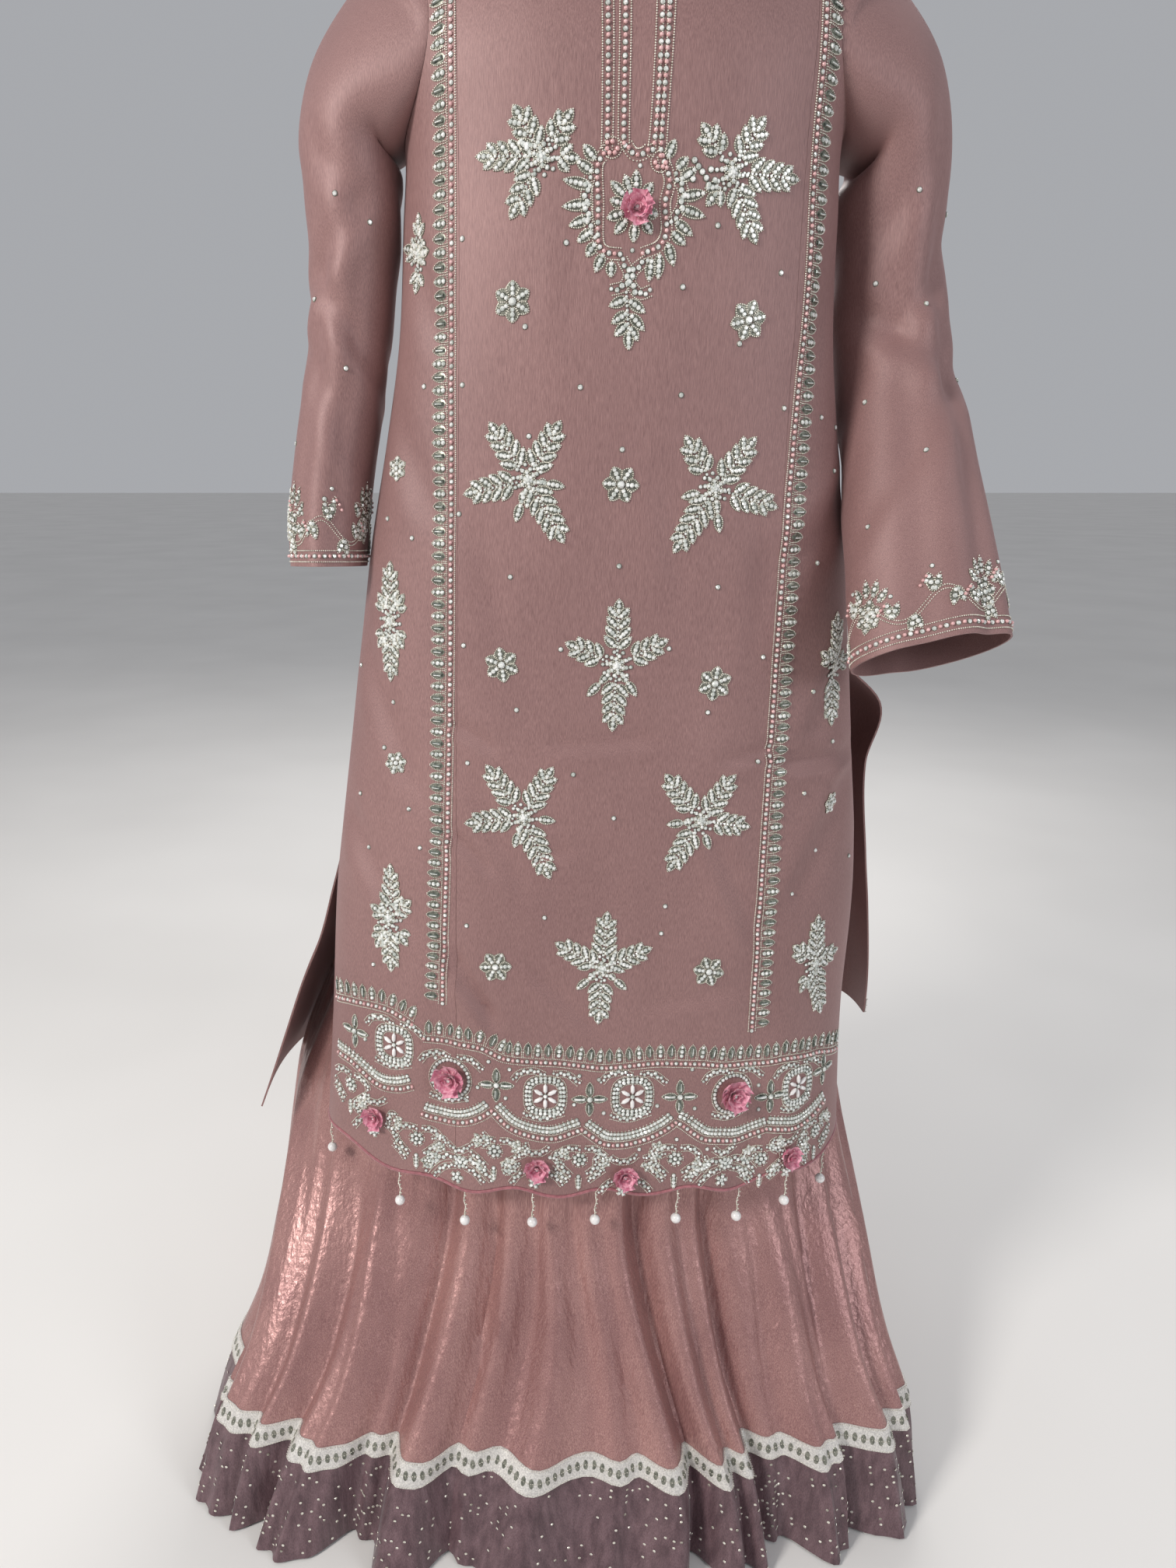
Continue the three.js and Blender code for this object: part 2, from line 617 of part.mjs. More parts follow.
function addSleeve(side) {
  const sign = side === 'left' ? -1 : 1;
  const panel = side === 'left' ? frontLeft : frontRight;
  const frontEdge = side === 'left' ? 0 : sideSteps;
  const backEdge = side === 'left' ? 0 : back.outer[0].length - 1;
  const points = [];
  const normals = [];
  for (let i = 0; i <= armholeSteps; i += 1) {
    points.push(panel.outer[i][frontEdge].clone());
    normals.push(panel.normals[i][frontEdge].clone());
  }
  for (let i = armholeSteps - 1; i > 0; i -= 1) {
    points.push(back.outer[i][backEdge].clone());
    normals.push(back.normals[i][backEdge].clone());
  }
  points[0].y = 0;
  points[armholeSteps].y = 0;
  const centre = points.reduce((sum, p) => sum.add(p), new THREE.Vector3()).divideScalar(points.length);
  const opening = centre.clone().setX(centre.x + sign * armholeReach);
  const ring = edgeRing(points, normals, (point) => opening.clone().sub(point));
  const stations = [{ ...sleeves[side][0], x: Math.abs(centre.x), y: centre.y, z: centre.z, start: true }];
  stations.push(...sleeves[side]);
  stations.forEach((station, i) => {
    station.step = i;
  });
  const last = stations.length - 1;
  const rows = [];
  for (let r = 0; r <= sleeveSteps; r += 1) {
    const share = r / sleeveSteps;
    const step = share * last;
    const at = (name) => along(stations, 'step', name, step);
    const turned = smooth(0, sleeveBlend, share);
    rows.push(ring.map((edge, i) => {
      if (r === 0) {
        const under = smooth(underarmShare, 1, 1 - Math.abs(i / armholeSteps - 1));
        const start = edge.point.clone().addScaledVector(edge.outwards, seamGap);
        return start.addScaledVector(edge.normal, underarmGap * under);
      }
      const angle = (2 * Math.PI * i) / ring.length;
      let trough = 0;
      for (const fold of sleeveFolds[side]) {
        if (fold.column === i) trough = fold.depth * smooth(0, sleeveFoldStart, share);
      }
      const across = (at('across') - trough) * Math.cos(angle);
      const front = (at('deep') - trough) * Math.sin(angle);
      const lift = at('tilt') * across + at('lean') * front;
      const round = new THREE.Vector3(sign * across, -front, lift);
      const start = edge.point.clone().sub(centre);
      const middle = new THREE.Vector3(sign * at('x'), at('y'), at('z'));
      const point = middle.add(start.lerp(round, turned));
      const clearance = sleeveClearance * smooth(0, sleeveClearanceStart, share);
      const sideX = tunicSideX(point.y, point.z) + clearance;
      if (sign * point.x < sideX) point.x = sign * sideX;
      return point;
    }));
  }
  const directions = ringNormals(rows, false);
  directions[0] = ring.map((edge, i) => {
    const lean = Math.max(0, directions[0][i].dot(edge.outwards));
    return directions[0][i].addScaledVector(edge.outwards, -lean).normalize();
  });
  addPiece(`sleeve_${side}`, wall(rows, directions, sleeveWall, true), finishes.tunic);
}
addSleeve('left');
addSleeve('right');

const skirtAt = (name, z) => along(skirtSections, 'z', name, z);

// A point of the shalwar's outer surface: the angle is 0 at the centre front and grows towards +X,
// and the valley share draws the cloth in from the crests' envelope
function skirtPoint(angle, z, depth) {
  const half = skirtAt('half', z);
  const middle = skirtAt('y', z);
  const ahead = Math.cos(angle) >= 0;
  const reach = Math.abs((ahead ? skirtAt('front', z) : skirtAt('back', z)) - middle);
  const frontShare = smooth(-skirtSideTurn, skirtSideTurn, Math.cos(angle));
  const power = 2 / mix(skirtBackRoundness, skirtAt('bend', z), frontShare);
  const pull = depth * skirtAt('fold', z);
  const x = skirtAt('x', z) + (half - pull) * signedPower(Math.sin(angle), power);
  const y = middle - (reach - pull) * signedPower(Math.cos(angle), power);
  return new THREE.Vector3(x, y, z);
}

// Valley angles all round, first those seen at the front and then even ones at the back
function skirtValleys() {
  const valleys = frontSkirtFolds.map((fold) => {
    const share = (fold.x - foldReference.x) / foldReference.half;
    return { angle: Math.asin(share), depth: fold.depth };
  });
  const start = valleys[valleys.length - 1].angle;
  const end = valleys[0].angle + 2 * Math.PI;
  for (let i = 1; i <= backFoldCount; i += 1) {
    const angle = mix(start, end, i / (backFoldCount + 1));
    valleys.push({ angle, depth: backFoldDepths[i % backFoldDepths.length] });
  }
  return valleys;
}

function skirtColumns() {
  const valleys = skirtValleys();
  const columns = [];
  valleys.forEach((valley, i) => {
    const next = valleys[(i + 1) % valleys.length];
    const turn = i + 1 < valleys.length ? 0 : 2 * Math.PI;
    for (let k = 0; k < columnsPerFold; k += 1) {
      const share = k / columnsPerFold;
      const depth = mix(valley.depth, next.depth, share) * Math.cos(Math.PI * share) ** 2;
      columns.push({ angle: mix(valley.angle, next.angle + turn, share), depth });
    }
  });
  return columns;
}

const pleats = skirtColumns();
const skirtRing = (z) => pleats.map((column) => skirtPoint(column.angle, z, column.depth));

function addShalwar() {
  const skirt = skirtRows.map(skirtRing);
  const skirtNormals = ringNormals(skirt, true);
  addPiece('shalwar_skirt', wall(skirt, skirtNormals, skirtWall, true), finishes.shalwar);

  const seam = skirtRing(skirtHem).map((point) => point.setZ(skirtHem - seamGap));
  const flounce = [seam, skirtRing(flounceHem)];
  addPiece('shalwar_flounce', wall(flounce, ringNormals(flounce, true), organzaWall, true), finishes.organza);

  const lift = laceGap + laceWall;
  const laceRows = [skirt.length - 2, skirt.length - 1];
  const raised = (point, normal) => point.clone().addScaledVector(normal, lift);
  const lace = laceRows.map((r) => skirt[r].map((point, c) => raised(point, skirtNormals[r][c])));
  const laceNormals = laceRows.map((r) => skirtNormals[r]);
  addPiece('shalwar_lace', wall(lace, laceNormals, laceWall, true), finishes.lace);

  const band = [waistTop, skirtTop + seamGap].map((z) => {
    const ring = [];
    for (let i = 0; i < waistSteps; i += 1) {
      ring.push(skirtPoint((2 * Math.PI * i) / waistSteps, skirtTop, 0).setZ(z));
    }
    return ring;
  });
  addPiece('shalwar_waistband', wall(band, ringNormals(band, true), skirtWall, true), finishes.shalwar);
}
addShalwar();

// Silver lace lies on the back hem from the right corner most of the way to the left one
function addBackLace() {
  const end = back.outer.length - 1;
  const rows = [];
  const normals = [];
  for (const row of [end - 1, end]) {
    const directions = back.normals[row].slice(backLaceStart);
    const points = back.outer[row].slice(backLaceStart);
    rows.push(points.map((point, c) => point.clone().addScaledVector(directions[c], laceGap + laceWall)));
    normals.push(directions);
  }
  addPiece('kameez_back_lace', wall(rows, normals, laceWall, false), finishes.lace);
}
addBackLace();

function toManifold(geometry) {
  const bare = geometry.clone();
  bare.deleteAttribute('normal');
  bare.deleteAttribute('uv');
  const merged = mergeVertices(bare, 1e-4);
  const vertProperties = new Float32Array(merged.attributes.position.array);
  const triVerts = new Uint32Array(merged.index.array);
  return new wasm.Manifold(new wasm.Mesh({ numProp: 3, vertProperties, triVerts }));
}

function fromManifold(solid) {
  const mesh = solid.getMesh();
  const geometry = new THREE.BufferGeometry();
  geometry.setAttribute('position', new THREE.BufferAttribute(new Float32Array(mesh.vertProperties), 3));
  geometry.setIndex(new THREE.BufferAttribute(new Uint32Array(mesh.triVerts), 1));
  return geometry;
}

// The scalloped edging under the front hem, with its beaded strands and pearls hanging from it
function addHemEdging() {
  const hems = [frontLeft, frontCentre, frontRight];
  const points = [];
  const normals = [];
  for (const panel of hems) {
    const end = panel.outer.length - 1;
    panel.outer[end].forEach((point, c) => {
      const previous = points[points.length - 1];
      if (previous && previous.distanceTo(point) < samePlace) return;
      points.push(point.clone());
      normals.push(panel.normals[end][c].clone().setZ(0).normalize());
    });
  }
  const row = (drop) => points.map((point) => point.clone().setZ(point.z - drop));
  const rows = [row(hemEdgingGap), row(hemEdgingGap + hemEdging)];
  let edging = toManifold(wall(rows, [normals, normals], hemEdgingWall, false));
  for (const x of dropPlaces) {
    let i = 0;
    while (i < points.length - 2 && points[i + 1].x < x) i += 1;
    const share = (x - points[i].x) / (points[i + 1].x - points[i].x);
    const root = points[i].clone().lerp(points[i + 1], share);
    root.addScaledVector(normals[i], -hemEdgingWall / 2);
    const top = root.z - hemEdgingGap - hemEdging + strandOverlap;
    const strand = new THREE.CylinderGeometry(strandRadius, strandRadius, dropStrand, strandSides);
    strand.rotateX(quarterTurn);
    strand.translate(root.x, root.y, top - dropStrand / 2);
    const pearl = new THREE.SphereGeometry(pearlRadius, pearlSides, pearlRings);
    pearl.translate(root.x, root.y, top - dropStrand - pearlRadius + strandOverlap);
    edging = edging.add(toManifold(strand)).add(toManifold(pearl));
  }
  addPiece('kameez_hem_drops', fromManifold(edging), finishes.pearl);
}
addHemEdging();

export default group;
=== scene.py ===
"""Shalwar kameez in its worn form: a beaded long tunic over a full, gathered shalwar.

Cloth is worked out in millimetres from the same sections as the CAD part, with the finer folds, the
weave and all the beadwork added here, and becomes metres where a mesh is made. +Z is up, the front
faces -Y, and a "drop" is a distance down from the shoulder line.
"""

import math

import bpy
import numpy as np
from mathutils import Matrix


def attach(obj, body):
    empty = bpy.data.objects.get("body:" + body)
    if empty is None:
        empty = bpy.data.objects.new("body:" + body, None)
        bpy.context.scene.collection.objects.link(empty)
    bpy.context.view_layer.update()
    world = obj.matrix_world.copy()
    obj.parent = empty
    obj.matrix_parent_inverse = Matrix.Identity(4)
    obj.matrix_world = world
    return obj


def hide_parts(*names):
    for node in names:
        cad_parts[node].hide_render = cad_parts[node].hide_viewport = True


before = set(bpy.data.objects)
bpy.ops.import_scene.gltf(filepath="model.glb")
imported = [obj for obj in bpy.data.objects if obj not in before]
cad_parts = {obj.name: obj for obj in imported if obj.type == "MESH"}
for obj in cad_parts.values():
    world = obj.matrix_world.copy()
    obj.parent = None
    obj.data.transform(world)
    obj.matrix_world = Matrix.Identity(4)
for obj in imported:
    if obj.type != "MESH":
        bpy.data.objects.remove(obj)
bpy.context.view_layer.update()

MM = 0.001
QUARTER = math.pi / 2
SIDE_SIGN = {"left": -1, "right": 1}
FACE_SIGN = {"front": -1, "back": 1}

# Cloth walls and seams
TUNIC_WALL = 1.8
SLEEVE_WALL = 1.6
SKIRT_WALL = 1.4
ORGANZA_WALL = 1.2
LACE_WALL = 1.0
BINDING_WALL = 1.8
SEAM_GAP = 0.3
LACE_GAP = 0.35

# Neck, shoulders and armholes
NECK_HALF_WIDTH = 85
NECK_FRONT_DEPTH = 92
NECK_BACK_DEPTH = 28
NECK_BINDING = 7
SHOULDER_HALF_WIDTH = 195
SHOULDER_SLOPE = 0.45
SHOULDER_FADE = 260
CHEST_RISE = 170
ARMHOLE_DROP = 190
ARMHOLE_HOLLOW = 30
ARMHOLE_REACH = 60

# Tunic length, panels and slits
HEM_DROP = 1140
SLIT_TOP = {"left": 690, "right": 640}
SCALLOP_PITCH = 88
SCALLOP_HEIGHT = 4.5
ROUNDNESS = 2.5
BACK_ROUNDNESS = 3
BACK_SQUARING = (690, 1000)
FRONT_CORNER_LIFT = {"left": 22, "right": 2, "from": 150, "to": 280}
BACK_CORNER_LIFT = {"left": -6, "right": 40, "from": 0, "to": 330}
FOLD_START = 620

# Shalwar heights
WAIST_TOP = -400
SKIRT_TOP = -430
LACE_TOP = -1395
SKIRT_HEM = -1415
FLOUNCE_HEM = -1497
FLOOR = -1500


def table(columns, *rows):
    """A short table as one array for each named column."""
    return {name: np.array(values, float) for name, values in zip(columns.split(), zip(*rows))}


TUNIC_SECTIONS = table(
    "drop half front back panel",
    (0, 206, 110, 98, 140),
    (60, 204, 113, 100, 139),
    (120, 197, 116, 103, 138),
    (190, 185, 118, 106, 137),
    (260, 188, 118, 104, 137),
    (350, 194, 118, 101, 138),
    (430, 207, 118, 104, 139),
    (525, 225, 120, 112, 140),
    (595, 235, 122, 121, 141),
    (665, 245, 126, 129, 142),
    (725, 253, 130, 137, 143),
    (800, 263, 135, 149, 143),
    (865, 271, 141, 161, 144),
    (1000, 279, 152, 191, 145),
    (1140, 288, 176, 235, 147),
)
FRONT_EDGES = {
    "left": table("drop y", (690, 0), (850, -15), (1000, -38), (1140, -62)),
    "right": table("drop y", (690, 0), (1000, -12), (1140, -22)),
}
RIGHT_FRONT_INSET = table("drop inset", (800, 0), (900, 5), (1000, 11), (1140, 14))
BACK_EDGES = {
    "left": [
        (840, 269, 0), (893, 283, -3), (946, 298, -8), (994, 318, -13),
        (1057, 340, -20), (1101, 355, -26), (1146, 371, -31),
    ],
    "right": [
        (686, 292, 12), (755, 289, 22), (866, 309, 40),
        (943, 328, 60), (1056, 351, 88), (1140, 356, 98),
    ],
}
FRONT_FOLDS = table(
    "across width depth",
    (-0.78, 0.1, -4), (-0.56, 0.07, -5), (0.16, 0.12, -2.5), (0.55, 0.08, -4), (0.8, 0.08, -3),
)
BACK_FOLDS = table(
    "across width depth",
    (-0.8, 0.1, 9), (-0.5, 0.12, 16), (-0.15, 0.14, 18), (0.22, 0.13, 18), (0.55, 0.12, 14), (0.82, 0.1, 8),
)

SKIRT_SECTIONS = table(
    "z x y half front back bend fold",
    (-430, 0, 5, 148, -92, 100, 2, 0.25),
    (-560, 0, 8, 190, -104, 103, 2, 0.35),
    (-700, 0, 20, 222, -112, 124, 2, 0.45),
    (-860, -4, 55, 250, -124, 148, 1.9, 0.6),
    (-1000, -8, 90, 284, -139, 178, 1.8, 0.7),
    (-1147, -19, 75, 332, -155, 222, 1.8, 0.85),
    (-1200, -20, 30, 338, -163, 238, 1.85, 0.95),
    (-1275, -20, -50, 344, -202, 258, 2.05, 1),
    (-1350, -23, -120, 357, -244, 276, 2.25, 1.05),
    (-1395, -26, -148, 376, -270, 286, 2.35, 1.05),
    (-1415, -28, -153, 384, -281, 292, 2.4, 1.1),
    (-1497, -35, -162, 405, -322, 306, 2.4, 1.4),
)
SKIRT_BACK_ROUNDNESS = 2.1
SKIRT_SIDE_TURN = 0.2
FRONT_SKIRT_FOLDS = table(
    "x depth",
    (-355, 8), (-329, 8), (-299, 9), (-269, 9), (-244, 8), (-221, 10), (-191, 15), (-138, 14), (-78, 12),
    (-30, 10), (23, 12), (74, 14), (122, 12), (155, 14), (187, 12), (234, 13), (277, 10), (308, 10),
)
FOLD_REFERENCE = {"x": -17, "half": 369}
BACK_FOLD_COUNT = 18
BACK_FOLD_DEPTHS = (11, 14, 12, 16, 13)

SLEEVES = {
    "left": [
        (228, 0, -170, 45, 63, 0, 0.3),
        (231, 0, -230, 43, 60, 0, 0.1),
        (235, 2, -300, 39, 57, 0, 0),
        (242, 3, -365, 38, 56, 0, 0),
        (254, -2, -430, 38, 55, 0.05, 0),
        (264, -8, -500, 38, 56, 0.08, 0),
        (266, -14, -546, 36, 58, 0.08, 0),
    ],
    "right": [
        (232, 0, -170, 47, 63, 0, 0.3),
        (239, 3, -240, 46, 60, 0, 0.1),
        (247, 3, -310, 47, 58, 0.1, 0.05),
        (255, -10, -370, 50, 56, 0.3, 0.05),
        (259, -42, -435, 54, 52, 0.5, 0.1),
        (260, -88, -503, 58, 46, 0.6, 0.15),
        (260, -126, -560, 62, 41, 0.6, 0.18),
        (260, -156, -606, 64, 38, 0.6, 0.18),
    ],
}
SLEEVE_COLUMNS = "x y z across deep lean tilt"
SLEEVE_BLEND = 0.24
SLEEVE_CLEARANCE = 3
SLEEVE_CLEARANCE_START = 0.2
SLEEVE_FOLD_START = 0.5
SLEEVE_FOLD_SPREAD = 0.9
UNDERARM_GAP = 0.6
UNDERARM_SHARE = 0.5
ARMHOLE_STEPS = 10
SLEEVE_FOLDS = {
    "left": table("column depth", (3, 5), (6, 4), (15, 5)),
    "right": table("column depth", (3, 9), (6, 6), (14, 6)),
}

# Pearl drops under the front hem
DROP_PLACES = (-282, -204, -137, -69, -6, 76, 140, 193, 241)
DROP_STRAND = 30
PEARL_RADIUS = 5.2
HEM_EDGING_GAP = 0.7

# The photograph's view: the eye in millimetres, and the rest in its pixels
EYE = np.array((-115.0, -980.0, -454.0))
FOCAL = 1264.0
TILT = math.radians(18)
VIEW_CENTRE = (625.5, 1009.0)
FRAME_SIZE = (1512, 2016)
SENSOR = 36.0


# Curves and sections

def along(rows, key, name, position):
    """The value of one column where another column has a position, on a smooth curve through the rows."""
    values = rows[name]
    sign = 1 if rows[key][-1] > rows[key][0] else -1
    places = sign * rows[key]
    wanted = np.clip(sign * np.asarray(position, float), places[0], places[-1])
    i = np.clip(np.searchsorted(places, wanted) - 1, 0, len(places) - 2)
    slopes = np.diff(values) / np.diff(places)
    tangents = np.concatenate([slopes[:1], (slopes[1:] + slopes[:-1]) / 2, slopes[-1:]])
    span = places[i + 1] - places[i]
    t = (wanted - places[i]) / span
    h = t * t * (3 - 2 * t)
    bend = t * (1 - t) * span * (tangents[i] * (1 - t) - tangents[i + 1] * t)
    return values[i] * (1 - h) + values[i + 1] * h + bend


def smooth(start, end, value):
    t = np.clip((np.asarray(value, float) - start) / (end - start), 0, 1)
    return t * t * (3 - 2 * t)


def mix(a, b, t):
    return a + (b - a) * t


def signed_power(base, exponent):
    return np.sign(base) * np.abs(base) ** exponent


def unit(vectors):
    return vectors / np.maximum(np.linalg.norm(vectors, axis=-1, keepdims=True), 1e-9)


def distances(points):
    """How far along a path each of its points lies."""
    return np.concatenate([[0], np.cumsum(np.linalg.norm(np.diff(points, axis=0), axis=1))])


def circle(points):
    """Flat points evenly round a unit circle."""
    turn = np.linspace(0, 2 * np.pi, points + 1)[:-1]
    return np.stack([np.cos(turn), np.sin(turn)], -1)


def section(name, drop):
    return along(TUNIC_SECTIONS, "drop", name, drop)


def back_edge_table(side):
    start = (SLIT_TOP[side], float(section("half", SLIT_TOP[side])), 0)
    return table("drop half y", start, *BACK_EDGES[side])


BACK_EDGE_TABLES = {side: back_edge_table(side) for side in SLIT_TOP}


def side_edge(face, side, drop):
    half = section("half", drop)
    if face == "front":
        inset = along(RIGHT_FRONT_INSET, "drop", "inset", drop) if side == "right" else 0
        return half - inset, along(FRONT_EDGES[side], "drop", "y", drop)
    rows = BACK_EDGE_TABLES[side]
    free = np.asarray(drop) > SLIT_TOP[side]
    free_half = along(rows, "drop", "half", drop)
    free_y = along(rows, "drop", "y", drop)
    return np.where(free, free_half, half), np.where(free, free_y, 0)


def edge_of(face, x, drop):
    """Half width and Y of the panel's edge on the side where X is."""
    left = side_edge(face, "left", drop)
    right = side_edge(face, "right", drop)
    return tuple(np.where(np.asarray(x) < 0, a, b) for a, b in zip(left, right))


def bend_of(face, drop):
    if face == "front":
        return ROUNDNESS + 0 * np.asarray(drop, float)
    return mix(ROUNDNESS, BACK_ROUNDNESS, smooth(*BACK_SQUARING, drop))


def fold_lift(face, across, drop):
    folds = FRONT_FOLDS if face == "front" else BACK_FOLDS
    strength = smooth(FOLD_START, HEM_DROP, drop)
    lift = 0
    for place, width, depth in zip(*folds.values()):
        lift = lift + depth * strength * np.exp(-(((across - place) / width) ** 2))
    return lift


def tunic_point(face, angle, drop):
    """The tunic's outer surface, from -90 degrees at the left side to 90 degrees at the right."""
    angle, drop = np.broadcast_arrays(np.asarray(angle, float), np.asarray(drop, float))
    half, edge_y = edge_of(face, angle, drop)
    power = 2 / bend_of(face, drop)
    rise = np.clip(drop / CHEST_RISE, 0, 1)
    closing = np.sqrt(np.maximum(0, 1 - (1 - rise) ** 2))
    across = signed_power(np.sin(angle), power)
    outwards = FACE_SIGN[face]
    depth = section(face, drop) - outwards * edge_y + fold_lift(face, across, drop)
    x = half * across
    y = edge_y + outwards * closing * depth * signed_power(np.cos(angle), power)
    slope = 1 - smooth(0, SHOULDER_FADE, drop)
    z = -drop - SHOULDER_SLOPE * slope * np.maximum(0, np.abs(x) - NECK_HALF_WIDTH)
    return np.stack([x, y, z], -1)


def angle_at(face, x, drop):
    half, _ = edge_of(face, x, drop)
    share = np.minimum(1, np.abs(x) / half)
    return np.sign(x) * np.arcsin(share ** (bend_of(face, drop) / 2))


def armhole_x(drop):
    turn = np.arccos(1 - 2 * np.clip(drop, 0, ARMHOLE_DROP) / ARMHOLE_DROP)
    line = mix(SHOULDER_HALF_WIDTH, float(section("half", ARMHOLE_DROP)), drop / ARMHOLE_DROP)
    return line - ARMHOLE_HOLLOW * np.sin(turn) ** 2


def hem_lift(face, x):
    corner = BACK_CORNER_LIFT if face == "back" else FRONT_CORNER_LIFT
    side = np.where(np.asarray(x) < 0, corner["left"], corner["right"])
    lift = side * smooth(corner["from"], corner["to"], np.abs(x))
    wave = SCALLOP_HEIGHT * np.cos(2 * np.pi * x / SCALLOP_PITCH)
    return lift if face == "back" else lift + wave


# The photograph's view, for placing what it shows

def project(points):
    """Pixels of the photograph where points in millimetres appear."""
    ahead = points[..., 1] - EYE[1]
    below = EYE[2] - points[..., 2]
    depth = ahead * math.cos(TILT) + below * math.sin(TILT)
    down = below * math.cos(TILT) - ahead * math.sin(TILT)
    px = VIEW_CENTRE[0] + FOCAL * (points[..., 0] - EYE[0]) / depth
    py = VIEW_CENTRE[1] + FOCAL * down / depth
    return np.stack([px, py], -1)


# Creases: soft troughs and ridges between two places in the photograph, or in X and drop elsewhere

def bare_front(x, drop):
    return tunic_point("front", angle_at("front", x, drop), drop)


# The search for a pixel's place starts this far ahead of the eye, within a reach in X for places below
# the eye and above it, and moves in a few steps of limited length
GUESS_DISTANCE = 860.0
REACH_BELOW = 250
REACH_ABOVE = 170
HIGHEST_GUESS = 20
SEARCH_STEPS = 12
LONGEST_STEP = 60
PROBE = 0.5


def front_places(pixels):
    """X and drop of the front's points that appear at pixels of the photograph."""
    wanted = np.asarray(pixels, float).reshape(-1, 2)
    below = GUESS_DISTANCE * np.tan(TILT + np.arctan((wanted[:, 1] - VIEW_CENTRE[1]) / FOCAL))
    depth = GUESS_DISTANCE * math.cos(TILT) + below * math.sin(TILT)
    x = EYE[0] + (wanted[:, 0] - VIEW_CENTRE[0]) * depth / FOCAL
    limit = np.where(below > 0, REACH_BELOW, REACH_ABOVE)
    place = np.stack([np.clip(x, -limit, limit), np.maximum(HIGHEST_GUESS, below - EYE[2])], -1)
    for _ in range(SEARCH_STEPS):
        here = project(bare_front(place[:, 0], place[:, 1]))
        across = (project(bare_front(place[:, 0] + PROBE, place[:, 1])) - here) / PROBE
        down = (project(bare_front(place[:, 0], place[:, 1] + PROBE)) - here) / PROBE
        move = np.linalg.pinv(np.stack([across, down], -1)) @ (wanted - here)[..., None]
        place = place + np.clip(move[..., 0], -LONGEST_STEP, LONGEST_STEP)
    return place


# Each trough has a lower ridge beside it, at its place in widths; shoulders and edges stay calm
CREASE_STRENGTH = 1.35
RIDGE_PLACE = 1.7
RIDGE_SHARE = 0.6
SHOULDER_CALM = (60, 130)
EDGE_CALM = 14


def crease_lift(creases, x, drop):
    """Height of the cloth over its plain section: each row is a line from one place to another."""
    lift = np.zeros(np.broadcast(x, drop).shape)
    for x0, drop0, x1, drop1, width, depth in zip(*creases.values()):
        run = np.array((x1 - x0, drop1 - drop0))
        length = np.linalg.norm(run)
        run = run / length
        lengthwise = (x - x0) * run[0] + (drop - drop0) * run[1]
        sideways = -(x - x0) * run[1] + (drop - drop0) * run[0]
        fade = np.exp(-np.maximum(0, -lengthwise) ** 2 / (2 * width) ** 2)
        fade = fade * np.exp(-np.maximum(0, lengthwise - length) ** 2 / (2 * width) ** 2)
        trough = np.exp(-((sideways / width) ** 2))
        ridge = np.exp(-(((sideways - RIDGE_PLACE * width) / width) ** 2))
        lift = lift + fade * depth * (ridge * RIDGE_SHARE - trough)
    return lift * CREASE_STRENGTH


def ripple(x, drop):
    """A slight unevenness that hand-hung cloth has everywhere."""
    slow = np.sin(x / 31 + 0.6 * np.sin(drop / 83)) * np.sin(drop / 119 + 1.3)
    quick = np.sin(x / 13.7 + 1.1 * np.sin(drop / 47 + 0.4)) * np.sin(drop / 61 + x / 90)
    return 0.55 * slow + 0.25 * quick


def photo_creases(*rows):
    """Creases between two pixels of the photograph, as a table in X and drop."""
    starts = front_places([row[:2] for row in rows])
    ends = front_places([row[2:4] for row in rows])
    placed = [(*start, *end, *row[4:]) for start, end, row in zip(starts, ends, rows)]
    return table("x0 drop0 x1 drop1 width depth", *placed)


FRONT_CREASES = photo_creases(
    (725, 958, 820, 951, 7, 2.0),
    (596, 938, 622, 956, 5.5, 3.4),
    (1022, 980, 1086, 968, 7.5, 3.4),
    (945, 978, 984, 966, 5.5, 2.6),
    (588, 1078, 622, 1112, 6, 3.4),
    (585, 1233, 628, 1308, 7.5, 3.8),
    (700, 1104, 722, 1096, 6, 2.0),
    (598, 1272, 622, 1298, 6, 2.4),
    (700, 1262, 760, 1318, 8, 1.8),
    (850, 1290, 935, 1276, 8, 1.6),
    (618, 1020, 660, 1120, 11, 1.4),
    (930, 1100, 968, 1190, 10, 1.6),
    (520, 300, 560, 420, 12, 2.0),
    (506, 520, 548, 640, 13, 2.2),
    (1066, 330, 1052, 430, 12, 2.0),
    (1078, 560, 1040, 700, 13, 2.0),
    (470, 830, 530, 1000, 12, 2.6),
    (1086, 830, 1050, 930, 10, 2.2),
    (452, 1050, 520, 1180, 13, 3.0),
    (1084, 1010, 1030, 1140, 12, 2.4),
    (620, 700, 640, 800, 12, 1.2),
    (985, 730, 975, 840, 12, 1.2),
    (860, 640, 870, 720, 12, 0.9),
    (740, 330, 735, 400, 11, 0.9),
)
BACK_CREASES = table(
    "x0 drop0 x1 drop1 width depth",
    (-150, 70, -60, 150, 14, 2.0),
    (150, 70, 60, 150, 14, 2.0),
    (-120, 330, 120, 345, 13, 2.4),
    (-150, 430, 60, 452, 14, 2.6),
    (-40, 480, 150, 470, 12, 2.2),
    (-170, 560, -80, 760, 16, 3.0),
    (170, 560, 100, 790, 16, 3.0),
    (-30, 600, -20, 860, 17, 2.6),
    (60, 660, 75, 980, 17, 3.0),
    (-250, 800, -200, 1000, 14, 3.0),
    (250, 790, 215, 960, 14, 3.0),
    (-110, 820, -105, 1040, 15, 2.4),
    (180, 880, 175, 1080, 14, 2.2),
)
FACE_CREASES = {"front": FRONT_CREASES, "back": BACK_CREASES}


